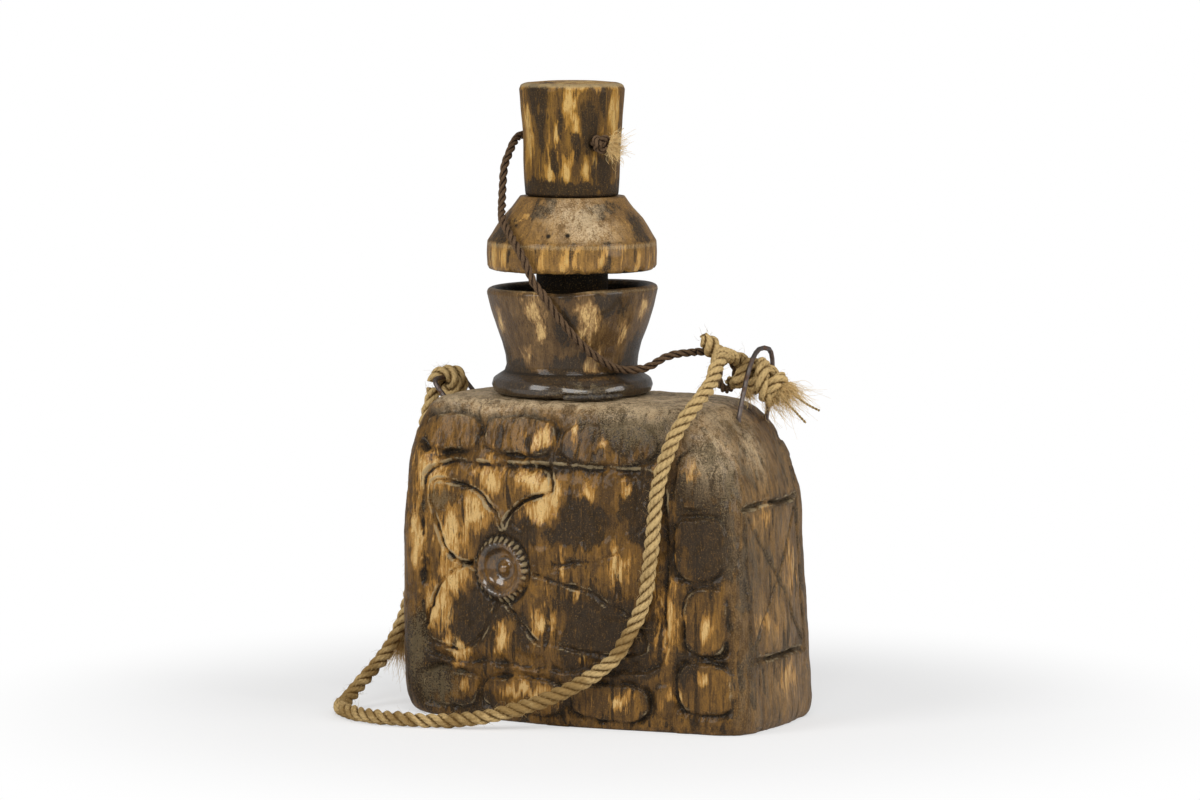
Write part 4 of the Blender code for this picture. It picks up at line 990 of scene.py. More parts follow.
def outer_rows(count):
    """Heights of the rows, evenly spaced along the rounded wall."""
    z = np.linspace(0.0, BODY_HEIGHT, 3000)
    inset = SHOULDER_INSET_DEPTH * 1.8 * shoulder_share(z) + FOOT_INSET * foot_share(z, FOOT_HEIGHT)
    lengths = np.concatenate([[0.0], np.cumsum(np.hypot(np.diff(z), np.diff(inset)))])
    return np.interp(np.linspace(0.0, lengths[-1], count), lengths, z)


def outward_ways(grid):
    """Outward directions of a grid of rings."""
    along = np.roll(grid, -1, axis=1) - np.roll(grid, 1, axis=1)
    upward = np.gradient(grid, axis=0)
    ways = np.cross(along, upward)
    return ways / np.maximum(np.linalg.norm(ways, axis=2), 1e-12)[:, :, None]


def scaled(shares, across, up):
    """A line's points in metres, from shares of a half width and a height."""
    return [(x * across, z * up) for x, z in shares]


def scaled_sides(sides, across, up):
    """An outline's four sides in metres, from shares of a half width and a height."""
    left, right, foot, top = sides
    return left * across, right * across, foot * up, top * up


class Relief:
    """Carving over a wall: how high it stands, how much dirt and painted shade its hollows take, and how
    much torn lip it has.
    """

    def __init__(self, across, up, firmness):
        self.across = across
        self.up = up
        self.firmness = firmness
        self.height = np.zeros(len(across))
        self.dirt_and_shade = np.zeros(len(across))
        self.lip = np.zeros(len(across))

    def dirty(self, distance, width, strength):
        """A dark line of dirt and painted shade, with softer dirt and painted shade around it."""
        line = np.maximum(gouge(distance, width), 0.50 * gouge(distance, width * 3.2))
        self.dirt_and_shade = np.maximum(self.dirt_and_shade, strength * self.firmness * line)

    def crack(self, distance, width, depth, strength, tear=1.0):
        """A knife line where the distance is nought, with torn wood beside it."""
        self.height -= depth * strength * self.firmness * gouge(distance, width)
        self.dirty(distance, width * 0.75, strength)
        torn = tear * gouge(np.abs(distance) - 1.3 * width, width * 0.55)
        self.lip = np.maximum(self.lip, strength * torn)
        self.height += 0.25 * MM * strength * torn

    def pillow(self, distance, depth, strength):
        """A cobble that swells inside its outline and drops steeply into a wide seam."""
        slope = np.where(distance > 0.0, gouge(distance, 2.6 * MM), gouge(distance, 0.9 * MM))
        self.height = np.minimum(self.height, -depth * strength * self.firmness * slope)
        rise = np.clip(-distance / (6.0 * MM), 0.0, 1.0)
        self.height += 1.2 * MM * strength * (1.0 - (1.0 - rise) ** 2)
        self.dirty(distance - 0.3 * MM, 0.95 * MM, strength)
        self.lip = np.maximum(self.lip, 0.35 * strength * gouge(distance + 1.4 * MM, 0.7 * MM))


def carve_broad(across, up, firmness, rosette=None):
    """The border of cobbles, the sunk panel, and the rosette of four wings round a toothed medallion."""
    depth = sizes().groove_depth
    relief = Relief(across, up, firmness)
    for *sides, strength in COBBLE_SHARES:
        outline = scaled_sides(sides, BODY_HALF_WIDTH, BODY_HEIGHT)
        relief.pillow(oval_distance(across, up, outline, COBBLE_POWER), depth, strength)
    panel = oval_distance(across, up, scaled_sides(PANEL_SHARES, BODY_HALF_WIDTH, BODY_HEIGHT), PANEL_POWER)
    slope = np.where(panel < 0.0, 0.40 + 0.60 * gouge(panel, 5.0 * MM), gouge(panel, 0.8 * MM))
    relief.height = np.minimum(relief.height, -depth * slope * firmness)
    relief.dirty(panel + 0.4 * MM, 0.9 * MM, 0.9)
    relief.lip = np.maximum(relief.lip, gouge(panel - 1.2 * MM, 0.8 * MM) * fade(up, *PANEL_LIP_HEIGHTS))
    if rosette is None:
        return relief
    for strength, shares in WING_SHARES:
        line = smooth_route(scaled(shares, BODY_HALF_WIDTH, BODY_HEIGHT), 3.0 * MM)
        relief.crack(line_distance(across, up, line), 1.0 * MM, depth * 0.8, strength, strength)
    carve_medallion(relief, *rosette)
    return relief


def carve_medallion(relief, across, up):
    """A toothed ring round a deep dished bowl with a small boss in it."""
    aside, above = across - MEDALLION[0], (up - MEDALLION[1]) / MEDALLION_TALL
    radius = np.hypot(aside, above)
    turn = np.arctan2(above, aside)
    outside = fade(radius, MEDALLION_RING, MEDALLION_RING + 1.8 * MM)
    relief.height *= outside
    relief.dirt_and_shade *= outside
    relief.lip *= outside
    teeth = 0.5 + 0.5 * np.cos(MEDALLION_TEETH * turn)
    ring = (MEDALLION_BOWL + MEDALLION_RING) / 2.0
    raised = gouge(radius - ring, 1.7 * MM)
    notches = gouge(radius - MEDALLION_RING, 1.5 * MM) * (1.0 - teeth)
    bowl = np.sqrt(np.clip(1.0 - (radius / MEDALLION_BOWL) ** 2, 0.0, 1.0))
    boss = np.exp(-((radius / MEDALLION_BOSS) ** 4))
    moat = gouge(radius - MEDALLION_BOSS * 1.7, 0.6 * MM)
    relief.height += 2.2 * MM * raised - 1.4 * MM * notches - 3.6 * MM * bowl + 3.0 * MM * boss
    relief.height -= 0.6 * MM * moat
    seam = gouge(radius - MEDALLION_RING - 1.6 * MM, 0.9 * MM)
    relief.height -= 0.8 * MM * seam
    # The notches, the seam round the ring and the boss's moat are painted dark: painted shade
    darks = np.maximum(0.75 * notches, 0.8 * seam)
    relief.dirt_and_shade = np.maximum(relief.dirt_and_shade, np.maximum(darks, 0.5 * moat))
    relief.lip = np.maximum(relief.lip, 1.2 * gouge(radius - MEDALLION_RING, 1.0 * MM) * teeth)


def medallion_gloss(across, up):
    """Where the hand has polished the medallion's bowl and ring."""
    radius = np.hypot(across - MEDALLION[0], (up - MEDALLION[1]) / MEDALLION_TALL)
    return 1.0 - fade(radius, MEDALLION_BOWL + 1.5 * MM, MEDALLION_RING)


def carve_end(across, up, firmness):
    """The hourglass panel of an end wall: an upright rectangle with crossed lines."""
    relief = Relief(across, up, firmness)
    depth = sizes().groove_depth
    sides = scaled_sides(SIDE_PANEL_SHARES, BODY_HALF_DEPTH, BODY_HEIGHT)
    relief.crack(oval_distance(across, up, sides, SIDE_PANEL_POWER), 0.85 * MM, depth * 0.6, 0.8, 0.2)
    left, right, foot, top = sides
    for height in (foot, top):
        line = ((left, height), (right, height))
        relief.crack(line_distance(across, up, line), 1.1 * MM, depth * 0.8, 1.2, 0.5)
    for ends in SIDE_CROSS_SHARES:
        line = scaled(ends, BODY_HALF_DEPTH, BODY_HEIGHT)
        relief.crack(line_distance(across, up, line), 0.85 * MM, depth * 0.6, 1.0, 0.3)
    return relief


def block_grid():
    """Rings of the block's outside from its foot over the shoulders to the mouth."""
    grid = [block_ring(z, 0.0, z) for z in outer_rows(BLOCK_ROWS)]
    top = grid[-1]
    turn = np.arctan2(top[:, 1], top[:, 0] - NECK.x)
    mouth = np.column_stack(
        [NECK.x + MOUTH_RADIUS * np.cos(turn), MOUTH_RADIUS * np.sin(turn), np.full(len(top), BODY_HEIGHT)]
    )
    grid += [top + (mouth - top) * k / TOP_RINGS for k in range(1, TOP_RINGS + 1)]
    grid = np.array(grid)
    crease = BLOCK_ROWS - 1
    soft = slice(crease - SOFT_ROWS_BELOW, crease + SOFT_ROWS_ABOVE)
    for _ in range(SOFTENING_ROUNDS):
        smooth = (grid[:-2] + 2.0 * grid[1:-1] + grid[2:]) / 4.0
        grid[soft] = smooth[soft.start - 1 : soft.stop - 1]
    return grid, mouth


def hollow_rings(mouth):
    """Rings of the mouth's wall and of the hollow inside, down to its floor."""
    top = block_ring(BODY_HEIGHT, WALL, BODY_HEIGHT - ROOF)
    rings = [mouth - (0.0, 0.0, ROOF)]
    rings += [rings[0] + (top - rings[0]) * k / 3.0 for k in (1, 2, 3)]
    for share in np.linspace(1.0, 0.0, HOLLOW_ROWS)[1:]:
        height = FLOOR + (BODY_HEIGHT - ROOF - FLOOR) * share
        rings.append(block_ring(BODY_HEIGHT * share, WALL, height))
    return rings


def carve_walls(points, ways):
    """How high the carving stands on all four walls, with the dirt and painted shade of its hollows, its
    torn lips and its gloss.
    """
    wander = np.stack([cloud(points, 0.012, 5, seed) for seed in (1, 2, 3)], axis=1) * 1.25 * MM
    warp_x, warp_y, warp_z = (points + wander).T
    steady_x, _, steady_z = (points + 0.2 * wander).T
    firmness = np.clip(0.80 + 0.90 * cloud(points, 0.010, 3, 8), 0.12, 1.35)
    front = fade(-ways[:, 1], *BROAD_FACING)
    walls = (
        (carve_broad(warp_x, warp_z, firmness, (steady_x, steady_z)), front),
        (carve_broad(warp_x, warp_z, firmness), fade(ways[:, 1], *BROAD_FACING)),
        (carve_end(warp_y, warp_z, firmness), fade(np.abs(ways[:, 0]), *END_FACING)),
    )
    height, dirt_and_shade, lip = np.zeros((3, len(points)))
    for relief, share in walls:
        height += relief.height * share
        dirt_and_shade = np.maximum(dirt_and_shade, relief.dirt_and_shade * share)
        lip = np.maximum(lip, relief.lip * share)
    return height, dirt_and_shade, lip, medallion_gloss(steady_x, steady_z) * front


def build_block():
    """The hollow block with its carving, closed through its mouth to the hollow inside."""
    grid, mouth = block_grid()
    rows, columns = grid.shape[:2]
    ways = outward_ways(grid).reshape(-1, 3)
    points = grid.reshape(-1, 3)
    height, dirt_and_shade, lip, gloss = carve_walls(points, ways)
    ragged = cloud(points * (1.0, 1.0, 0.6), 0.0045, 5, 4)
    dirt_and_shade = np.clip(dirt_and_shade * (1.0 + 0.7 * ragged), 0.0, 1.0)
    lip = np.clip(lip * (0.80 + 1.6 * ragged), 0.0, 1.0)
    facets = cloud(points * (1.0, 1.0, 0.45), 0.0045, 3, 6)
    uneven = (0.50 * MM * cloud(points, 0.028, 3, 5) + 0.26 * MM * facets) * (1.0 - 0.9 * gloss)
    splits = fade(cloud(points * (1.0, 1.0, 0.10), 0.0032, 2, 9), 0.34, 0.52) * (1.0 - gloss)
    # Splits in the wood are painted dark: dirt and painted shade in the cracks
    dirt_and_shade = np.maximum(dirt_and_shade, 0.55 * splits)
    nearly_mouth = np.repeat(np.arange(rows), columns) >= rows - 3
    out = np.where(nearly_mouth, 0.0, uneven + height + 0.35 * MM * lip - 0.30 * MM * splits)
    points = points + ways * out[:, None]
    points[:, 2] = np.clip(points[:, 2], 0.0, BODY_HEIGHT + 0.1 * MM)
    points[:columns, 2] = 0.0

    inside = hollow_rings(mouth)
    points = np.concatenate([points, *inside])
    rows += len(inside)
    faces = ring_faces(rows, columns).tolist() + end_caps(rows, columns)
    material = wood_paint("carved_wood", wood_tones("wood_light"), 0.605, 0.560)
    item = new_object("carved_block", points, faces, material)

    pad = np.zeros(len(points) - len(dirt_and_shade))
    outside = (dirt_and_shade, lip, gloss, fade(ways[:, 0], *END_WEAR_AND_SHEEN_FACING))
    dirt_and_shade, lip, gloss, end_wall = (np.concatenate([values, pad]) for values in outside)
    top_face = fade(points[:, 2], *TOP_WEAR_AND_SHEEN_HEIGHTS)
    # The top face and the shoulders take a whitish haze with painted sheen, and the end wall a little of it
    haze_and_sheen_share = np.maximum(0.95 * top_face, 0.65 * spread(points, HAZE_AND_SHEEN_SPOTS))
    set_wear(
        item,
        [both_faces(spots) for spots in (PALE_SPOTS, DARK_SPOTS, GRIT_SPOTS)],
        7,
        dirt_and_shade=dirt_and_shade,
        lip=lip,
        glossy=gloss,
        bare=0.5 * end_wall + 0.4 * top_face,
        haze_and_sheen=np.maximum(haze_and_sheen_share, 0.10 * end_wall),
        add_dark=0.05 * gloss,
        add_grit=0.80 * top_face,
    )
    return finish_piece(item, ["body_shell"])


def wood_tones(light, deep="wood_deep", pale="wood_pale"):
    """Pale, light, deep and dark wood, where the light one is the piece's own."""
    tone = colours()
    return getattr(tone, pale), getattr(tone, light), getattr(tone, deep), tone.wood_dark


# The turned pieces


def turned_grid(profile, columns, open_ended):
    """Rings of a turned piece, from its profile in millimetres, even along the profile."""
    line = np.array(profile, float) * MM
    if not open_ended:
        line = np.concatenate([line, line[:1]])
    line = even_points(line, PROFILE_STEP)
    if not open_ended:
        line = line[:-1]
    turn = 2.0 * math.pi * np.arange(columns) / columns
    grid = np.empty((len(line), columns, 3))
    grid[:, :, 0] = NECK.x + line[:, :1] * np.cos(turn)
    grid[:, :, 1] = line[:, :1] * np.sin(turn)
    grid[:, :, 2] = line[:, 1:]
    return grid


def turned_object(name, grid, material, closed):
    """A turned piece as one mesh. A closed one has a bore, and an open-ended one has flat ends."""
    rows, columns = grid.shape[:2]
    faces = ring_faces(rows, columns)[:, ::-1].tolist()
    if closed:
        last = (rows - 1) * columns
        faces += [[last + i, last + (i + 1) % columns, (i + 1) % columns, i][::-1] for i in range(columns)]
    else:
        faces += [cap[::-1] for cap in end_caps(rows, columns)]
    return new_object(name, grid.reshape(-1, 3), faces, material)


def from_axis(points):
    """Level directions away from the neck's axis."""
    ways = points - np.array(NECK)
    ways[:, 2] = 0.0
    return ways / np.maximum(np.linalg.norm(ways, axis=1), 1e-9)[:, None]


def hand_worn(grid, amount, inner_radius, seed):
    """Knife and wear marks on the outside of a turned piece. Its bore stays true."""
    points = grid.reshape(-1, 3)
    ways = from_axis(points)
    share = fade(neck_radius(points), inner_radius, inner_radius + 2.0 * MM)
    lumps = 0.75 * cloud(points, 0.022, 2, seed)
    lumps += 0.25 * cloud(points * (1.0, 1.0, 0.4), 0.006, 2, seed + 1)
    return (points + ways * (amount * lumps * share)[:, None]).reshape(grid.shape)


def set_wear(
    item, spots, seed, dirt_and_shade=0.0, lip=0.0, glossy=0.0, bare=0.0, haze_and_sheen=0.0, add_dark=0.0, add_grit=0.0
):
    """The numbers that a wood's material reads, from pale, dark and gritty spots in millimetres."""
    points = np.array([v.co for v in item.data.vertices])
    streaks = cloud(points * (1.0, 1.0, 0.22), 0.0035, 4, seed)
    blotch = cloud(points * (1.0, 1.0, 0.6), 0.011, 3, seed + 1)
    shifted = points + np.outer(streaks, (1.4 * MM, 1.4 * MM, 4.0 * MM)) + blotch[:, None] * 1.6 * MM
    pale, dark, grit = (spread(shifted, places) for places in spots)
    values = {
        "dirt_and_shade": dirt_and_shade,
        "lip": lip,
        "glossy": glossy,
        "haze_and_sheen": haze_and_sheen,
        "pale": pale - bare,
        "dark": np.maximum(dark, add_dark),
        "grit": np.maximum(grit, add_grit),
    }
    for name, value in values.items():
        set_values(item, name, np.broadcast_to(value, len(points)))


def build_cup():
    """The flared neck cup with its foot ring, its worn rim, and the funnel inside painted dark as shade."""
    grid = hand_worn(turned_grid(CUP_PROFILE, CUP_COLUMNS, False), 0.60 * MM, 0.0245, 20)
    row_count = grid.shape[0]
    points = grid.reshape(-1, 3)
    z = points[:, 2]
    radius = neck_radius(points)
    lift = fade(z, RIM_TILT_START, RIM_Z)
    aside = (points - np.array(NECK)) @ np.array(ACROSS_VIEW) / RIM_RADIUS
    z += RIM_TILT * aside * lift
    dent = spread(points, faced_spots(CUP_DENT))
    z -= 1.3 * MM * dent
    points -= from_axis(points) * (0.8 * MM * dent)[:, None]
    ring = fade(z, *RING_HEIGHTS) * fade(radius, *RING_RADII)
    dip = spread(points, faced_spots(CUP_DIP))
    z -= 2.2 * MM * dip * ring * fade(z, *DIP_HEIGHTS)
    material = wood_paint("neck_wood", wood_tones("neck_light"), 0.635, 0.575, 0.30, 0.22)
    item = turned_object("neck_cup_shape", grid, material, True)

    row = np.repeat(np.arange(row_count), CUP_COLUMNS)
    rim_row = int(np.argmax(grid[:, 0, 2]))
    # The funnel inside and the ring's seam are painted dark: painted shade
    funnel = (row > row_count * 0.55) * fade(z, *FUNNEL_FOOT) * fade(z, *FUNNEL_TOP)
    seam = gouge(z - RING_SEAM_Z, 1.2 * MM) * fade(radius, *RING_SEAM_RADII) * (row < row_count * 0.5)
    edge = gouge(z - RIM_EDGE_Z, 0.8 * MM) * (np.abs(row - rim_row) < 6)
    set_wear(
        item,
        [faced_spots(spots) for spots in (CUP_PALE, CUP_DARK, CUP_GRIT)],
        12,
        dirt_and_shade=np.clip(0.8 * seam + 0.95 * funnel, 0.0, 1.0),
        lip=0.5 * edge,
        glossy=0.6 * ring,
        add_dark=1.1 * ring,
    )
    return finish_piece(item, ["neck_cup"])


def build_resin():
    """The bead of resin that runs along the front of the foot ring."""
    share = np.linspace(0.0, 1.0, SEAL_ROWS)
    turns = SEAL_START + SEAL_SWEEP * share
    line = np.column_stack(
        [NECK.x + SEAL_REACH * np.cos(turns), SEAL_REACH * np.sin(turns), np.full(len(turns), SEAL_Z)]
    )
    across, over = carried_sides(line)
    width = SEAL_RADIUS * (0.35 + 0.65 * np.sin(math.pi * share) ** 0.35)
    spin = 2.0 * math.pi * np.arange(SEAL_SIDES) / SEAL_SIDES
    grid = line[:, None] + ring_ways(across, over, spin) * width[:, None, None]
    points = grid.reshape(-1, 3)
    middles = np.repeat(line, SEAL_SIDES, axis=0)
    points = middles + (points - middles) * (1.0 + 0.30 * cloud(points, 0.0022, 3, 30))[:, None]
    faces = ring_faces(SEAL_ROWS, SEAL_SIDES).tolist() + end_caps(SEAL_ROWS, SEAL_SIDES)
    item = new_object("resin_bead", points, faces, resin_paint())
    return finish_piece(item, ["neck_seal"])


def cord_hole_way():
    """The level direction in which the cord's hole runs through the knob."""
    return Vector((math.cos(CORD_HOLE_TURN), math.sin(CORD_HOLE_TURN), 0.0))


def build_knob():
    """The stopper's knob and stem, with the cord's hole worn in."""
    grid = hand_worn(turned_grid(KNOB_PROFILE, KNOB_COLUMNS, True), 0.50 * MM, 0.0168, 40)
    points = grid.reshape(-1, 3)
    z = points[:, 2]
    way = np.array(cord_hole_way())
    reach = points - (np.array(NECK) + (0.0, 0.0, CORD_HOLE_Z))
    aside = np.linalg.norm(reach - np.outer(reach @ way, way), axis=1)
    hole = (1.0 - fade(aside, *CORD_HOLE_RADII)) * (z > CORD_HOLE_LOWEST)
    points -= from_axis(points) * (1.8 * MM * hole)[:, None]
    tones = wood_tones("knob_light", pale="stopper_pale")
    material = wood_paint("stopper_wood", tones, 0.590, 0.580, 0.38, 0.06, (300.0, 34.0))
    item = turned_object("stopper_knob", grid, material, False)

    # The seam at the knob's foot, the cord's hole and the stem hidden in the collar are painted dark:
    # painted shade
    foot = gouge(z - KNOB_SEAM_Z, 1.9 * MM)
    stem = z < KNOB_FOOT_Z
    edge = fade(z, *KNOB_EDGE_HEIGHTS) * fade(neck_radius(points), *KNOB_EDGE_RADII)
    set_wear(
        item,
        [faced_spots(spots) for spots in (KNOB_PALE, KNOB_DARK, ())],
        41,
        dirt_and_shade=np.clip(0.75 * foot + 0.95 * hole + 0.9 * stem, 0.0, 1.0),
        lip=0.8 * edge,
    )
    return finish_piece(item, ["stopper_peg"], "stopper")


def build_collar():
    """The loose collar: a cone with a whitish haze and painted sheen, and worm holes painted as black dots,
    over a band whose lower edge is chipped.
    """
    grid = hand_worn(turned_grid(COLLAR_PROFILE, COLLAR_COLUMNS, False), 0.55 * MM, 0.0175, 50)
    points = grid.reshape(-1, 3)
    z = points[:, 2]
    radius = neck_radius(points)
    torn = fade(radius, *BAND_RADII) * fade(z, *BAND_FOOT)
    bites = np.clip(cloud(points * (1.0, 1.0, 0.1), 0.0042, 3, 51) + 0.15, 0.0, 1.0)
    z += 1.8 * MM * torn * bites
    points -= from_axis(points) * (0.9 * MM * torn * bites)[:, None]
    # The worm holes are only painted, as black dots of shade
    painted_hole_shades = [Vector(faced_place(*hole)) * MM for hole in WORM_HOLES]
    tones = wood_tones("collar_light", "collar_deep", "stopper_pale")
    material = wood_paint("collar_wood", tones, 0.610, 0.630, 0.35, 0.14, painted_hole_shades=painted_hole_shades)
    item = turned_object("stopper_collar_shape", grid, material, True)

    outer = radius > BAND_RADIUS
    # The band's seam and the underside are painted dark: painted shade
    seam = gouge(z - BAND_SEAM_Z, 0.8 * MM) * outer
    edge = gouge(z - BAND_EDGE_Z, 1.6 * MM) * outer
    under = (z < COLLAR_UNDERSIDE_Z) * (radius < COLLAR_UNDERSIDE_RADIUS)
    cone = fade(z, *CONE_FOOT)
    haze_and_sheen_share = spread(points, faced_spots(COLLAR_HAZE_AND_SHEEN))
    pale_turns = [turn + 8.0 * math.sin(2.7 * turn) for turn in range(-171, 189, 18)]
    pale = [(turn, 37.5, 204.5, 1.8, 4.5) for turn in pale_turns]
    dark = [(turn, 37.5, 206.0, 1.6, 5.0) for turn in range(-168, 192, 24)]
    set_wear(
        item,
        [faced_spots(spots) for spots in ((*pale, *COLLAR_PALE), (*dark, *COLLAR_DARK), COLLAR_GRIT)],
        52,
        dirt_and_shade=np.clip(0.4 * seam + 0.9 * under, 0.0, 1.0),
        lip=0.5 * edge,
        bare=0.45 * cone,
        haze_and_sheen=0.85 * haze_and_sheen_share * cone,
    )
    return finish_piece(item, ["stopper_collar"], "stopper")


# Ropes, cords, knots and frayed ends


def rope_hairs(name, points, material, per_metre, seed):
    """Loose hairs that stand off a rope all the way along it."""
    size = sizes()
    radius = size.rope_diameter / 2.0
    rng = np.random.default_rng(seed)
    count = round(route_length(points) * per_metre)
    where = rng.uniform(0.0, len(points) - 1.001, count)
    low = where.astype(int)
    share = (where - low)[:, None]
    middle = points[low] * (1.0 - share) + points[low + 1] * share
    across, over = carried_sides(points)
    spin = rng.uniform(0.0, 2.0 * math.pi, count)[:, None]
    out = across[low] * np.cos(spin) + over[low] * np.sin(spin)
    along = points[low + 1] - points[low]
    along /= np.linalg.norm(along, axis=1)[:, None]
    along *= rng.choice([-1.0, 1.0], count)[:, None]
    ways = along * rng.uniform(0.5, 1.1, count)[:, None] + out * rng.uniform(0.10, 0.70, count)[:, None]
    lengths = size.hair_length * rng.uniform(0.30, 1.0, count) ** 1.8
    roots = middle + out * radius * 0.86
    item = fibre_object(name, roots, ways, lengths, material, HAIR_RADIUS, 0.24, seed + 1)
    keep_above_floor(item)
    return finish_piece(item, [])


def tuft_object(name, ends, tuft, material, seed, hair=TUFT_HAIR_RADIUS):
    """A brush of loose fibres that opens from a bound root."""
    root_radius, openness, count, curl = tuft
    rng = np.random.default_rng(seed)
    start, end = (np.array(place) for place in ends)
    length = np.linalg.norm(end - start)
    way = (end - start) / length
    side = np.cross(way, (0.2, 0.9, 0.35))
    side /= np.linalg.norm(side)
    over = np.cross(way, side)
    spin = rng.uniform(0.0, 2.0 * math.pi, count)[:, None]
    out = rng.uniform(0.0, 1.0, count)[:, None] ** 0.6
    aside = side * np.cos(spin) + over * np.sin(spin)
    roots = start - way * root_radius * 0.6 + aside * out * root_radius
    ways = way + aside * out * openness + rng.normal(0.0, 0.10, (count, 3))
    lengths = length * (0.30 + 0.65 * rng.uniform(0.0, 1.0, count) ** 2.0)
    item = fibre_object(name, roots, ways, lengths, material, hair, curl, seed + 1, 7)
    keep_above_floor(item)
    return item


def keep_above_floor(item):
    """No hair sinks into the floor."""
    for vertex in item.data.vertices:
        vertex.co.z = max(vertex.co.z, FLOOR_CLEARANCE)


def fibre_paints():
    """The rope's own fibre, its loose hairs, and the pale fibre of frayed ends."""
    tone = colours()
    rope = rope_paint("rope_fibre", tone.rope_light, tone.rope_deep, tone.rope_soil)
    hair = plain_fibre_paint("rope_hair", tone.rope_light, tone.rope_deep)
    pale = plain_fibre_paint("pale_fray", tone.fray_light, tone.rope_light)
    return rope, hair, pale


def laid_rope(name, line, material, seed, end_share=1.0, swell=1.0):
    """A length of the carrying rope: three strands of fine yarns."""
    size = sizes()
    return rope_object(
        name,
        even_points(line, ROPE_STEP),
        material,
        size.rope_diameter / 2.0 * swell,
        ROPE_STRANDS,
        size.rope_pitch,
        ROPE_SIDES,
        yarns=ROPE_YARNS,
        roughen=0.14,
        seed=seed,
        end_share=end_share,
    )


def laid_cord(name, route, material, seed, roughen=0.0):
    """A length of the stopper's cord: three plain strands."""
    size = sizes()
    return rope_object(
        name,
        smooth_route(route, CORD_STEP),
        material,
        size.tether_diameter / 2.0,
        ROPE_STRANDS,
        size.tether_pitch,
        CORD_SIDES,
        roughen=roughen,
        seed=seed,
    )


def build_carrying_rope():
    """The hanging rope with its loose hairs, and the tail that hangs from the left staple."""
    fibre, hair, pale = fibre_paints()
    ropes = (
        ("hanging_rope", ROPE_ROUTE, "carrying_rope", "object", 60),
        ("rope_tail", TAIL_ROUTE, "left_tail", "bare", 64),
    )
    for name, route, node, far_end, seed in ropes:
        line = smooth_route(route, ROPE_STEP)
        rope = laid_rope(name, line, fibre, seed)
        finish_piece(rope, [node])
        pieces = [rope_hairs(f"{name}_hairs", line, hair, ROPE_HAIRS, seed + 1)]
        if far_end == "bare":
            brush = tuft_object("rope_tail_brush", LEFT_FRAY, TAIL_TUFT, pale, seed + 2)
            finish_piece(brush, ["left_tail_brush"])
            pieces.append(brush)
        path = smooth_route(route, ROPE_PATH_STEP)


def build_tether():
    """The thin dark cord from the stopper's knob down to the rope's knot."""
    tone = colours()
    material = rope_paint("dark_cord", tone.cord_light, tone.cord_deep, tone.cord_deep, 0.75)
    tether = laid_cord("stopper_cord", TETHER_ROUTE, material, 70, 0.12)
    path = smooth_route(TETHER_ROUTE, CORD_PATH_STEP)
    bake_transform(tether)
    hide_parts("stopper_tether")
    hitch = laid_cord("cord_hitch", HITCH_ROUTE, material, 72)
    finish_piece(hitch, ["tether_hitch"])
    build_stop_knot(material)


def build_stop_knot(material):
    """An overhand knot drawn tight against the knob, and the pale fray beyond it."""
    way = cord_hole_way()
    centre = NECK + way * STOP_KNOT_REACH + Vector((0.0, 0.0, CORD_HOLE_Z + 0.0001))
    side, up = Vector((-way.y, way.x, 0.0)), Vector((0.0, 0.0, 1.0))
    points = []
    for i in range(STOP_KNOT_STEPS + 1):
        turn = 2.0 * math.pi * i / STOP_KNOT_STEPS
        x = math.sin(turn) + 2.0 * math.sin(2.0 * turn)
        y = math.cos(turn) - 2.0 * math.cos(2.0 * turn)
        z = -math.sin(3.0 * turn)
        points.append(centre + (side * x + up * y + way * z * 1.2) * STOP_KNOT_SCALE * MM)
    knot = rope_object(
        "stop_knot",
        np.array(points),
        material,
        STOP_KNOT_RADIUS,
        ROPE_STRANDS,
        STOP_KNOT_PITCH,
        CORD_SIDES,
        seed=74,
    )
    finish_piece(knot, ["tether_knot"], "stopper")
    fray_way = (way * 0.55 + side * 0.80 + up * -0.25).normalized()
    start = centre + fray_way * STOP_FRAY_START * MM
    end = start + fray_way * STOP_FRAY_LENGTH * MM
    pale = plain_fibre_paint("cord_fray", colours().fray_light, colours().rope_light)
    fray = tuft_object("stop_knot_fray", (start, end), CORD_TUFT, pale, 75, CORD_TUFT_HAIR_RADIUS)
    finish_piece(fray, ["tether_fray"], "stopper")


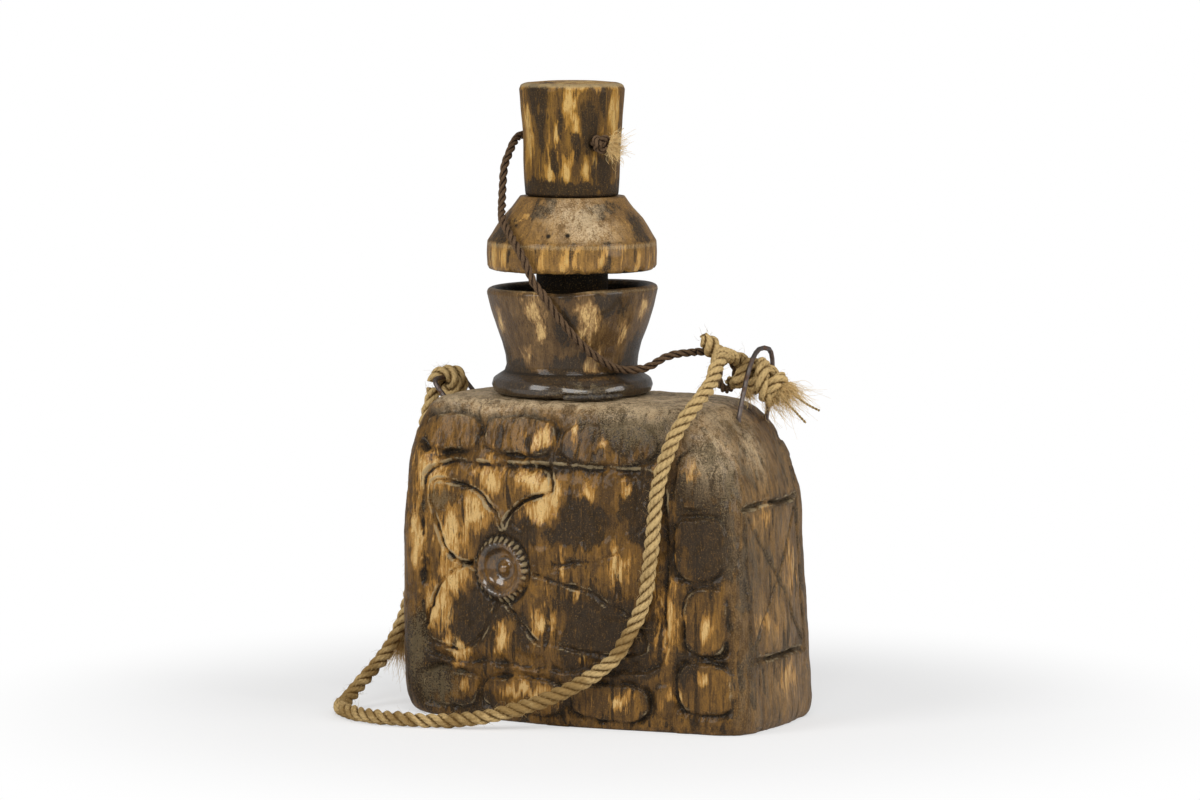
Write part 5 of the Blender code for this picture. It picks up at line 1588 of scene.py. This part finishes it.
def build_knots():
    """The rope's wraps on both staples, its folded end on the right, and the frayed end."""
    fibre, hair, pale = fibre_paints()
    left = coil_points(LEFT_BAR_START, LEFT_BAR_END, LEFT_WRAP_RADIUS, LEFT_WRAP_TURNS, -math.pi / 2.0)
    right = coil_points(RIGHT_KNOT_START, RIGHT_KNOT_END, RIGHT_KNOT_RADIUS, RIGHT_KNOT_TURNS, 0.0)
    crossing = coil_points(
        RIGHT_KNOT_START, RIGHT_KNOT_END, CROSSING_RADIUS, CROSSING_TURNS, CROSSING_START_TURN
    )
    pieces = (
        ("left_rope_knot", left, ["left_knot"], 0.9, 1.0),
        ("right_rope_knot", right, ["right_knot"], 0.9, 1.0),
        ("rope_stub", smooth_route(STUB_ROUTE, ROPE_STEP), ["right_rope_end"], 0.45, 1.34),
        ("crossing_wrap", crossing, [], 0.6, 1.0),
    )
    for seed, (name, line, nodes, end_share, swell) in enumerate(pieces, 80):
        rope = laid_rope(name, line, fibre, seed, end_share, swell)
        finish_piece(rope, nodes)
        rope_hairs(f"{name}_hairs", even_points(line, ROPE_STEP), hair, KNOT_HAIRS, seed + 10)
    fray = tuft_object("right_rope_fray", RIGHT_FRAY, KNOT_TUFT, pale, 98)
    finish_piece(fray, ["right_fray"])
    for seed, (name, route) in enumerate(STRAY_STRANDS.items(), 100):
        line = smooth_route(route, CORD_STEP)
        strand = rope_object(
            name, line, fibre, STRAY_STRAND_RADIUS, STRAY_YARNS, STRAY_PITCH, STRAY_SIDES, seed=seed
        )
        finish_piece(strand, [])
    for seed, (name, ends) in enumerate(UNDER_FRAYS.items(), 104):
        under = tuft_object(name, ends, UNDERSIDE_TUFT, pale, seed)
        finish_piece(under, [])


def paint_staples():
    """The staples keep the frame's own wire, in old rusted iron."""
    material = iron_paint()
    for name in ("left_staple", "right_staple"):
        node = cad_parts[name]
        node.data.materials.clear()
        node.data.materials.append(material)


# The stage


def build_softbox(name, across, towards, up, width, height, power):
    """A rectangular light that faces the flask."""
    data = bpy.data.lights.new(name, "AREA")
    data.shape = "RECTANGLE"
    data.size, data.size_y = width, height
    data.energy = power
    light = bpy.data.objects.new(name, data)
    bpy.context.scene.collection.objects.link(light)
    place = ACROSS_VIEW * across + TOWARDS_CAMERA * towards + Vector((0.0, 0.0, up))
    light.location = place
    light.rotation_euler = (LIGHT_AIM - place).to_track_quat("-Z", "Y").to_euler()


def build_camera():
    """The photograph's camera."""
    data = bpy.data.cameras.new("camera")
    data.lens = CAMERA_LENS
    data.sensor_width = CAMERA_SENSOR
    data.clip_start, data.clip_end = CAMERA_REACH
    camera = bpy.data.objects.new("camera", data)
    bpy.context.scene.collection.objects.link(camera)
    forward = -TOWARDS_CAMERA * math.cos(CAMERA_PITCH) - Vector((0.0, 0.0, math.sin(CAMERA_PITCH)))
    up = ACROSS_VIEW.cross(forward)
    place = TOWARDS_CAMERA * CAMERA_DISTANCE + ACROSS_VIEW * CAMERA_SIDE + Vector((0.0, 0.0, CAMERA_HEIGHT))
    turned = Matrix((ACROSS_VIEW, up, -forward)).transposed().to_4x4()
    camera.matrix_world = Matrix.Translation(place) @ turned
    bpy.context.scene.camera = camera


def build_floor():
    """A white floor that takes the soft shadow near the flask and runs out into plain white."""
    points = [(x * FLOOR_HALF, y * FLOOR_HALF, 0.0) for x, y in ((-1, -1), (1, -1), (1, 1), (-1, 1))]
    paint = Paint("white_floor")
    camera_ray = paint.node("ShaderNodeLightPath", output="Is Camera Ray")
    white = paint.node("ShaderNodeEmission", {}, {"Color": (1.0, 1.0, 1.0, 1.0), "Strength": 1.0})
    paint.set(base_color=rgba(colours().floor), roughness=0.6, specular_ior_level=0.2)
    far = paint.fade(paint.distance((0.0, 0.0, 0.0)), *SHADOW_REACH)
    share = (far * 0.5 + 0.5) * camera_ray
    surface = Value(paint, paint.shader.outputs[0])
    mixed = paint.node("ShaderNodeMixShader", {}, {0: share, 1: surface, 2: white})
    paint.feed(paint.tree.nodes["Material Output"].inputs["Surface"], mixed)
    floor = new_object("floor", points, [(0, 1, 2, 3)], paint.material)


def build_world():
    """Plain white to the camera, and a softer white that lights the flask."""
    world = bpy.data.worlds.new("studio")
    bpy.context.scene.world = world
    world.use_nodes = True
    nodes = Nodes(world.node_tree)
    background = nodes.tree.nodes["Background"]
    nodes.feed(background.inputs["Color"], (1.0, 1.0, 1.0, 1.0))
    camera_ray = nodes.node("ShaderNodeLightPath", output="Is Camera Ray")
    inputs = {"Value": camera_ray, "To Min": sizes().fill_light, "To Max": 1.0}
    nodes.feed(background.inputs["Strength"], nodes.node("ShaderNodeMapRange", {}, inputs))


def build_stage():
    """The camera, the white floor and room, and three softboxes."""
    build_camera()
    build_floor()
    build_world()
    bpy.context.scene.view_settings.view_transform = "Standard"
    for name, values in SOFTBOXES.items():
        build_softbox(name, *values)


# The add-on


def length_property(name, description, default):
    return FloatProperty(name=name, description=description, default=default, unit="LENGTH")


class FlaskSizes(bpy.types.PropertyGroup):
    groove_depth: length_property("Groove depth", "How deep the carved outlines are cut", 0.0025)
    rope_diameter: length_property("Rope diameter", "Thickness of the carrying rope", 0.0060)
    rope_pitch: length_property("Rope lay", "Length of rope in which a strand goes once round", 0.0158)
    tether_diameter: length_property("Cord diameter", "Thickness of the stopper's cord", 0.0035)
    tether_pitch: length_property("Cord lay", "Length of cord in which a strand goes once round", 0.0125)
    hair_length: length_property("Hair length", "Length of the loose hairs on the rope", 0.0050)
    fill_light: FloatProperty(
        name="Fill light", description="Brightness of the white room round the flask", default=0.30
    )


def colour_property(name, description, default):
    return FloatVectorProperty(
        name=name, description=description, default=default, subtype="COLOR", size=3, min=0.0, max=1.0
    )


class FlaskColours(bpy.types.PropertyGroup):
    wood_pale: colour_property("Pale wood", "Torn and worn flecks", (0.680, 0.450, 0.180))
    stopper_pale: colour_property("Stopper's pale wood", "Its worn flecks", (0.560, 0.360, 0.120))
    wood_light: colour_property("Light wood", "Lit grain of the block", (0.222, 0.108, 0.021))
    wood_deep: colour_property("Deep wood", "Dark grain", (0.068, 0.034, 0.010))
    wood_dark: colour_property("Smoked wood", "Patina and stains", (0.017, 0.011, 0.007))
    neck_light: colour_property("Neck wood", "Lit grain of the neck cup", (0.165, 0.092, 0.032))
    knob_light: colour_property("Knob wood", "Lit grain of the stopper's knob", (0.215, 0.108, 0.018))
    collar_light: colour_property("Collar wood", "Lit grain of the collar", (0.310, 0.165, 0.040))
    collar_deep: colour_property("Collar grain", "Dark grain of the collar", (0.150, 0.078, 0.024))
    dust: colour_property("Dust", "Grey-brown dirt in the carving", (0.180, 0.138, 0.078))
    torn: colour_property("Torn edges", "Crumbly edges of the carving", (0.380, 0.290, 0.160))
    # A whitish haze, which also paints the sheen on the top, the shoulders and the collar's cone
    haze_and_sheen: colour_property("Bloom", "Whitish haze on handled wood", (0.640, 0.480, 0.290))
    rope_light: colour_property("Rope", "Upper fibres of the rope", (0.640, 0.450, 0.200))
    rope_deep: colour_property("Rope shadow", "Fibres between the yarns", (0.160, 0.092, 0.030))
    rope_soil: colour_property("Rope soil", "Soiled places on the rope", (0.230, 0.130, 0.036))
    fray_light: colour_property("Frayed fibre", "Loose fibres at the rope's ends", (0.760, 0.540, 0.240))
    cord_light: colour_property("Cord", "Upper fibres of the stopper's cord", (0.150, 0.092, 0.050))
    cord_deep: colour_property("Cord shadow", "Fibres between the cord's strands", (0.034, 0.020, 0.012))
    iron: colour_property("Iron", "Bare forged wire", (0.120, 0.100, 0.090))
    rust: colour_property("Rust", "Rusted wire", (0.085, 0.042, 0.022))
    resin: colour_property("Resin", "Dark resin at the neck's foot", (0.020, 0.013, 0.008))
    floor: colour_property("Floor", "Studio floor", (0.90, 0.90, 0.90))


class FLASK_OT_stage(bpy.types.Operator):
    """Camera, floor and studio lights"""

    bl_idname = "flask.stage"
    bl_label = "Stage"

    def execute(self, context):
        build_stage()
        return {"FINISHED"}


class FLASK_OT_carrying_rope(bpy.types.Operator):
    """The hanging rope and its tail"""

    bl_idname = "flask.carrying_rope"
    bl_label = "Carrying rope"

    def execute(self, context):
        build_carrying_rope()
        return {"FINISHED"}


class FLASK_OT_tether(bpy.types.Operator):
    """The stopper's cord, its hitch and its stop knot"""

    bl_idname = "flask.tether"
    bl_label = "Stopper cord"

    def execute(self, context):
        build_tether()
        return {"FINISHED"}


class FLASK_OT_knots(bpy.types.Operator):
    """Rope wraps and frayed ends at the staples"""

    bl_idname = "flask.knots"
    bl_label = "Knots"

    def execute(self, context):
        build_knots()
        return {"FINISHED"}


class FLASK_OT_block(bpy.types.Operator):
    """The hollow block with its carving"""

    bl_idname = "flask.block"
    bl_label = "Carved block"

    def execute(self, context):
        build_block()
        return {"FINISHED"}


class FLASK_OT_cup(bpy.types.Operator):
    """The flared cup with its foot ring"""

    bl_idname = "flask.cup"
    bl_label = "Neck cup"

    def execute(self, context):
        build_cup()
        return {"FINISHED"}


class FLASK_OT_resin(bpy.types.Operator):
    """The bead of resin at the neck's foot"""

    bl_idname = "flask.resin"
    bl_label = "Resin bead"

    def execute(self, context):
        build_resin()
        return {"FINISHED"}


class FLASK_OT_knob(bpy.types.Operator):
    """The stopper's knob and stem"""

    bl_idname = "flask.knob"
    bl_label = "Stopper knob"

    def execute(self, context):
        build_knob()
        return {"FINISHED"}


class FLASK_OT_collar(bpy.types.Operator):
    """The loose collar under the knob"""

    bl_idname = "flask.collar"
    bl_label = "Stopper collar"

    def execute(self, context):
        build_collar()
        return {"FINISHED"}


class FLASK_OT_staples(bpy.types.Operator):
    """Rusted iron on the frame's staples"""

    bl_idname = "flask.staples"
    bl_label = "Staples"

    def execute(self, context):
        paint_staples()
        return {"FINISHED"}


OPERATORS = (
    FLASK_OT_stage,
    FLASK_OT_carrying_rope,
    FLASK_OT_tether,
    FLASK_OT_knots,
    FLASK_OT_block,
    FLASK_OT_cup,
    FLASK_OT_resin,
    FLASK_OT_knob,
    FLASK_OT_collar,
    FLASK_OT_staples,
)


class FLASK_PT_panel(bpy.types.Panel):
    """The flask's sizes, colours and pieces."""

    bl_idname = "FLASK_PT_panel"
    bl_label = "Carved flask"
    bl_space_type = "VIEW_3D"
    bl_region_type = "UI"
    bl_category = "Flask"

    def draw(self, context):
        scene = context.scene
        for operator in OPERATORS:
            self.layout.operator(operator.bl_idname)
        for group in (scene.flask_sizes, scene.flask_colours):
            for name in group.bl_rna.properties.keys():
                if name not in ("rna_type", "name"):
                    self.layout.prop(group, name)


CLASSES = (FlaskSizes, FlaskColours, *OPERATORS, FLASK_PT_panel)


def register():
    for item in CLASSES:
        bpy.utils.register_class(item)
    bpy.types.Scene.flask_sizes = PointerProperty(type=FlaskSizes)
    bpy.types.Scene.flask_colours = PointerProperty(type=FlaskColours)


def unregister():
    del bpy.types.Scene.flask_colours
    del bpy.types.Scene.flask_sizes
    for item in reversed(CLASSES):
        bpy.utils.unregister_class(item)


def main():
    register()
    for operator in OPERATORS:
        getattr(bpy.ops.flask, operator.bl_idname.split(".")[1])()


if __name__ == "__main__":
    main()
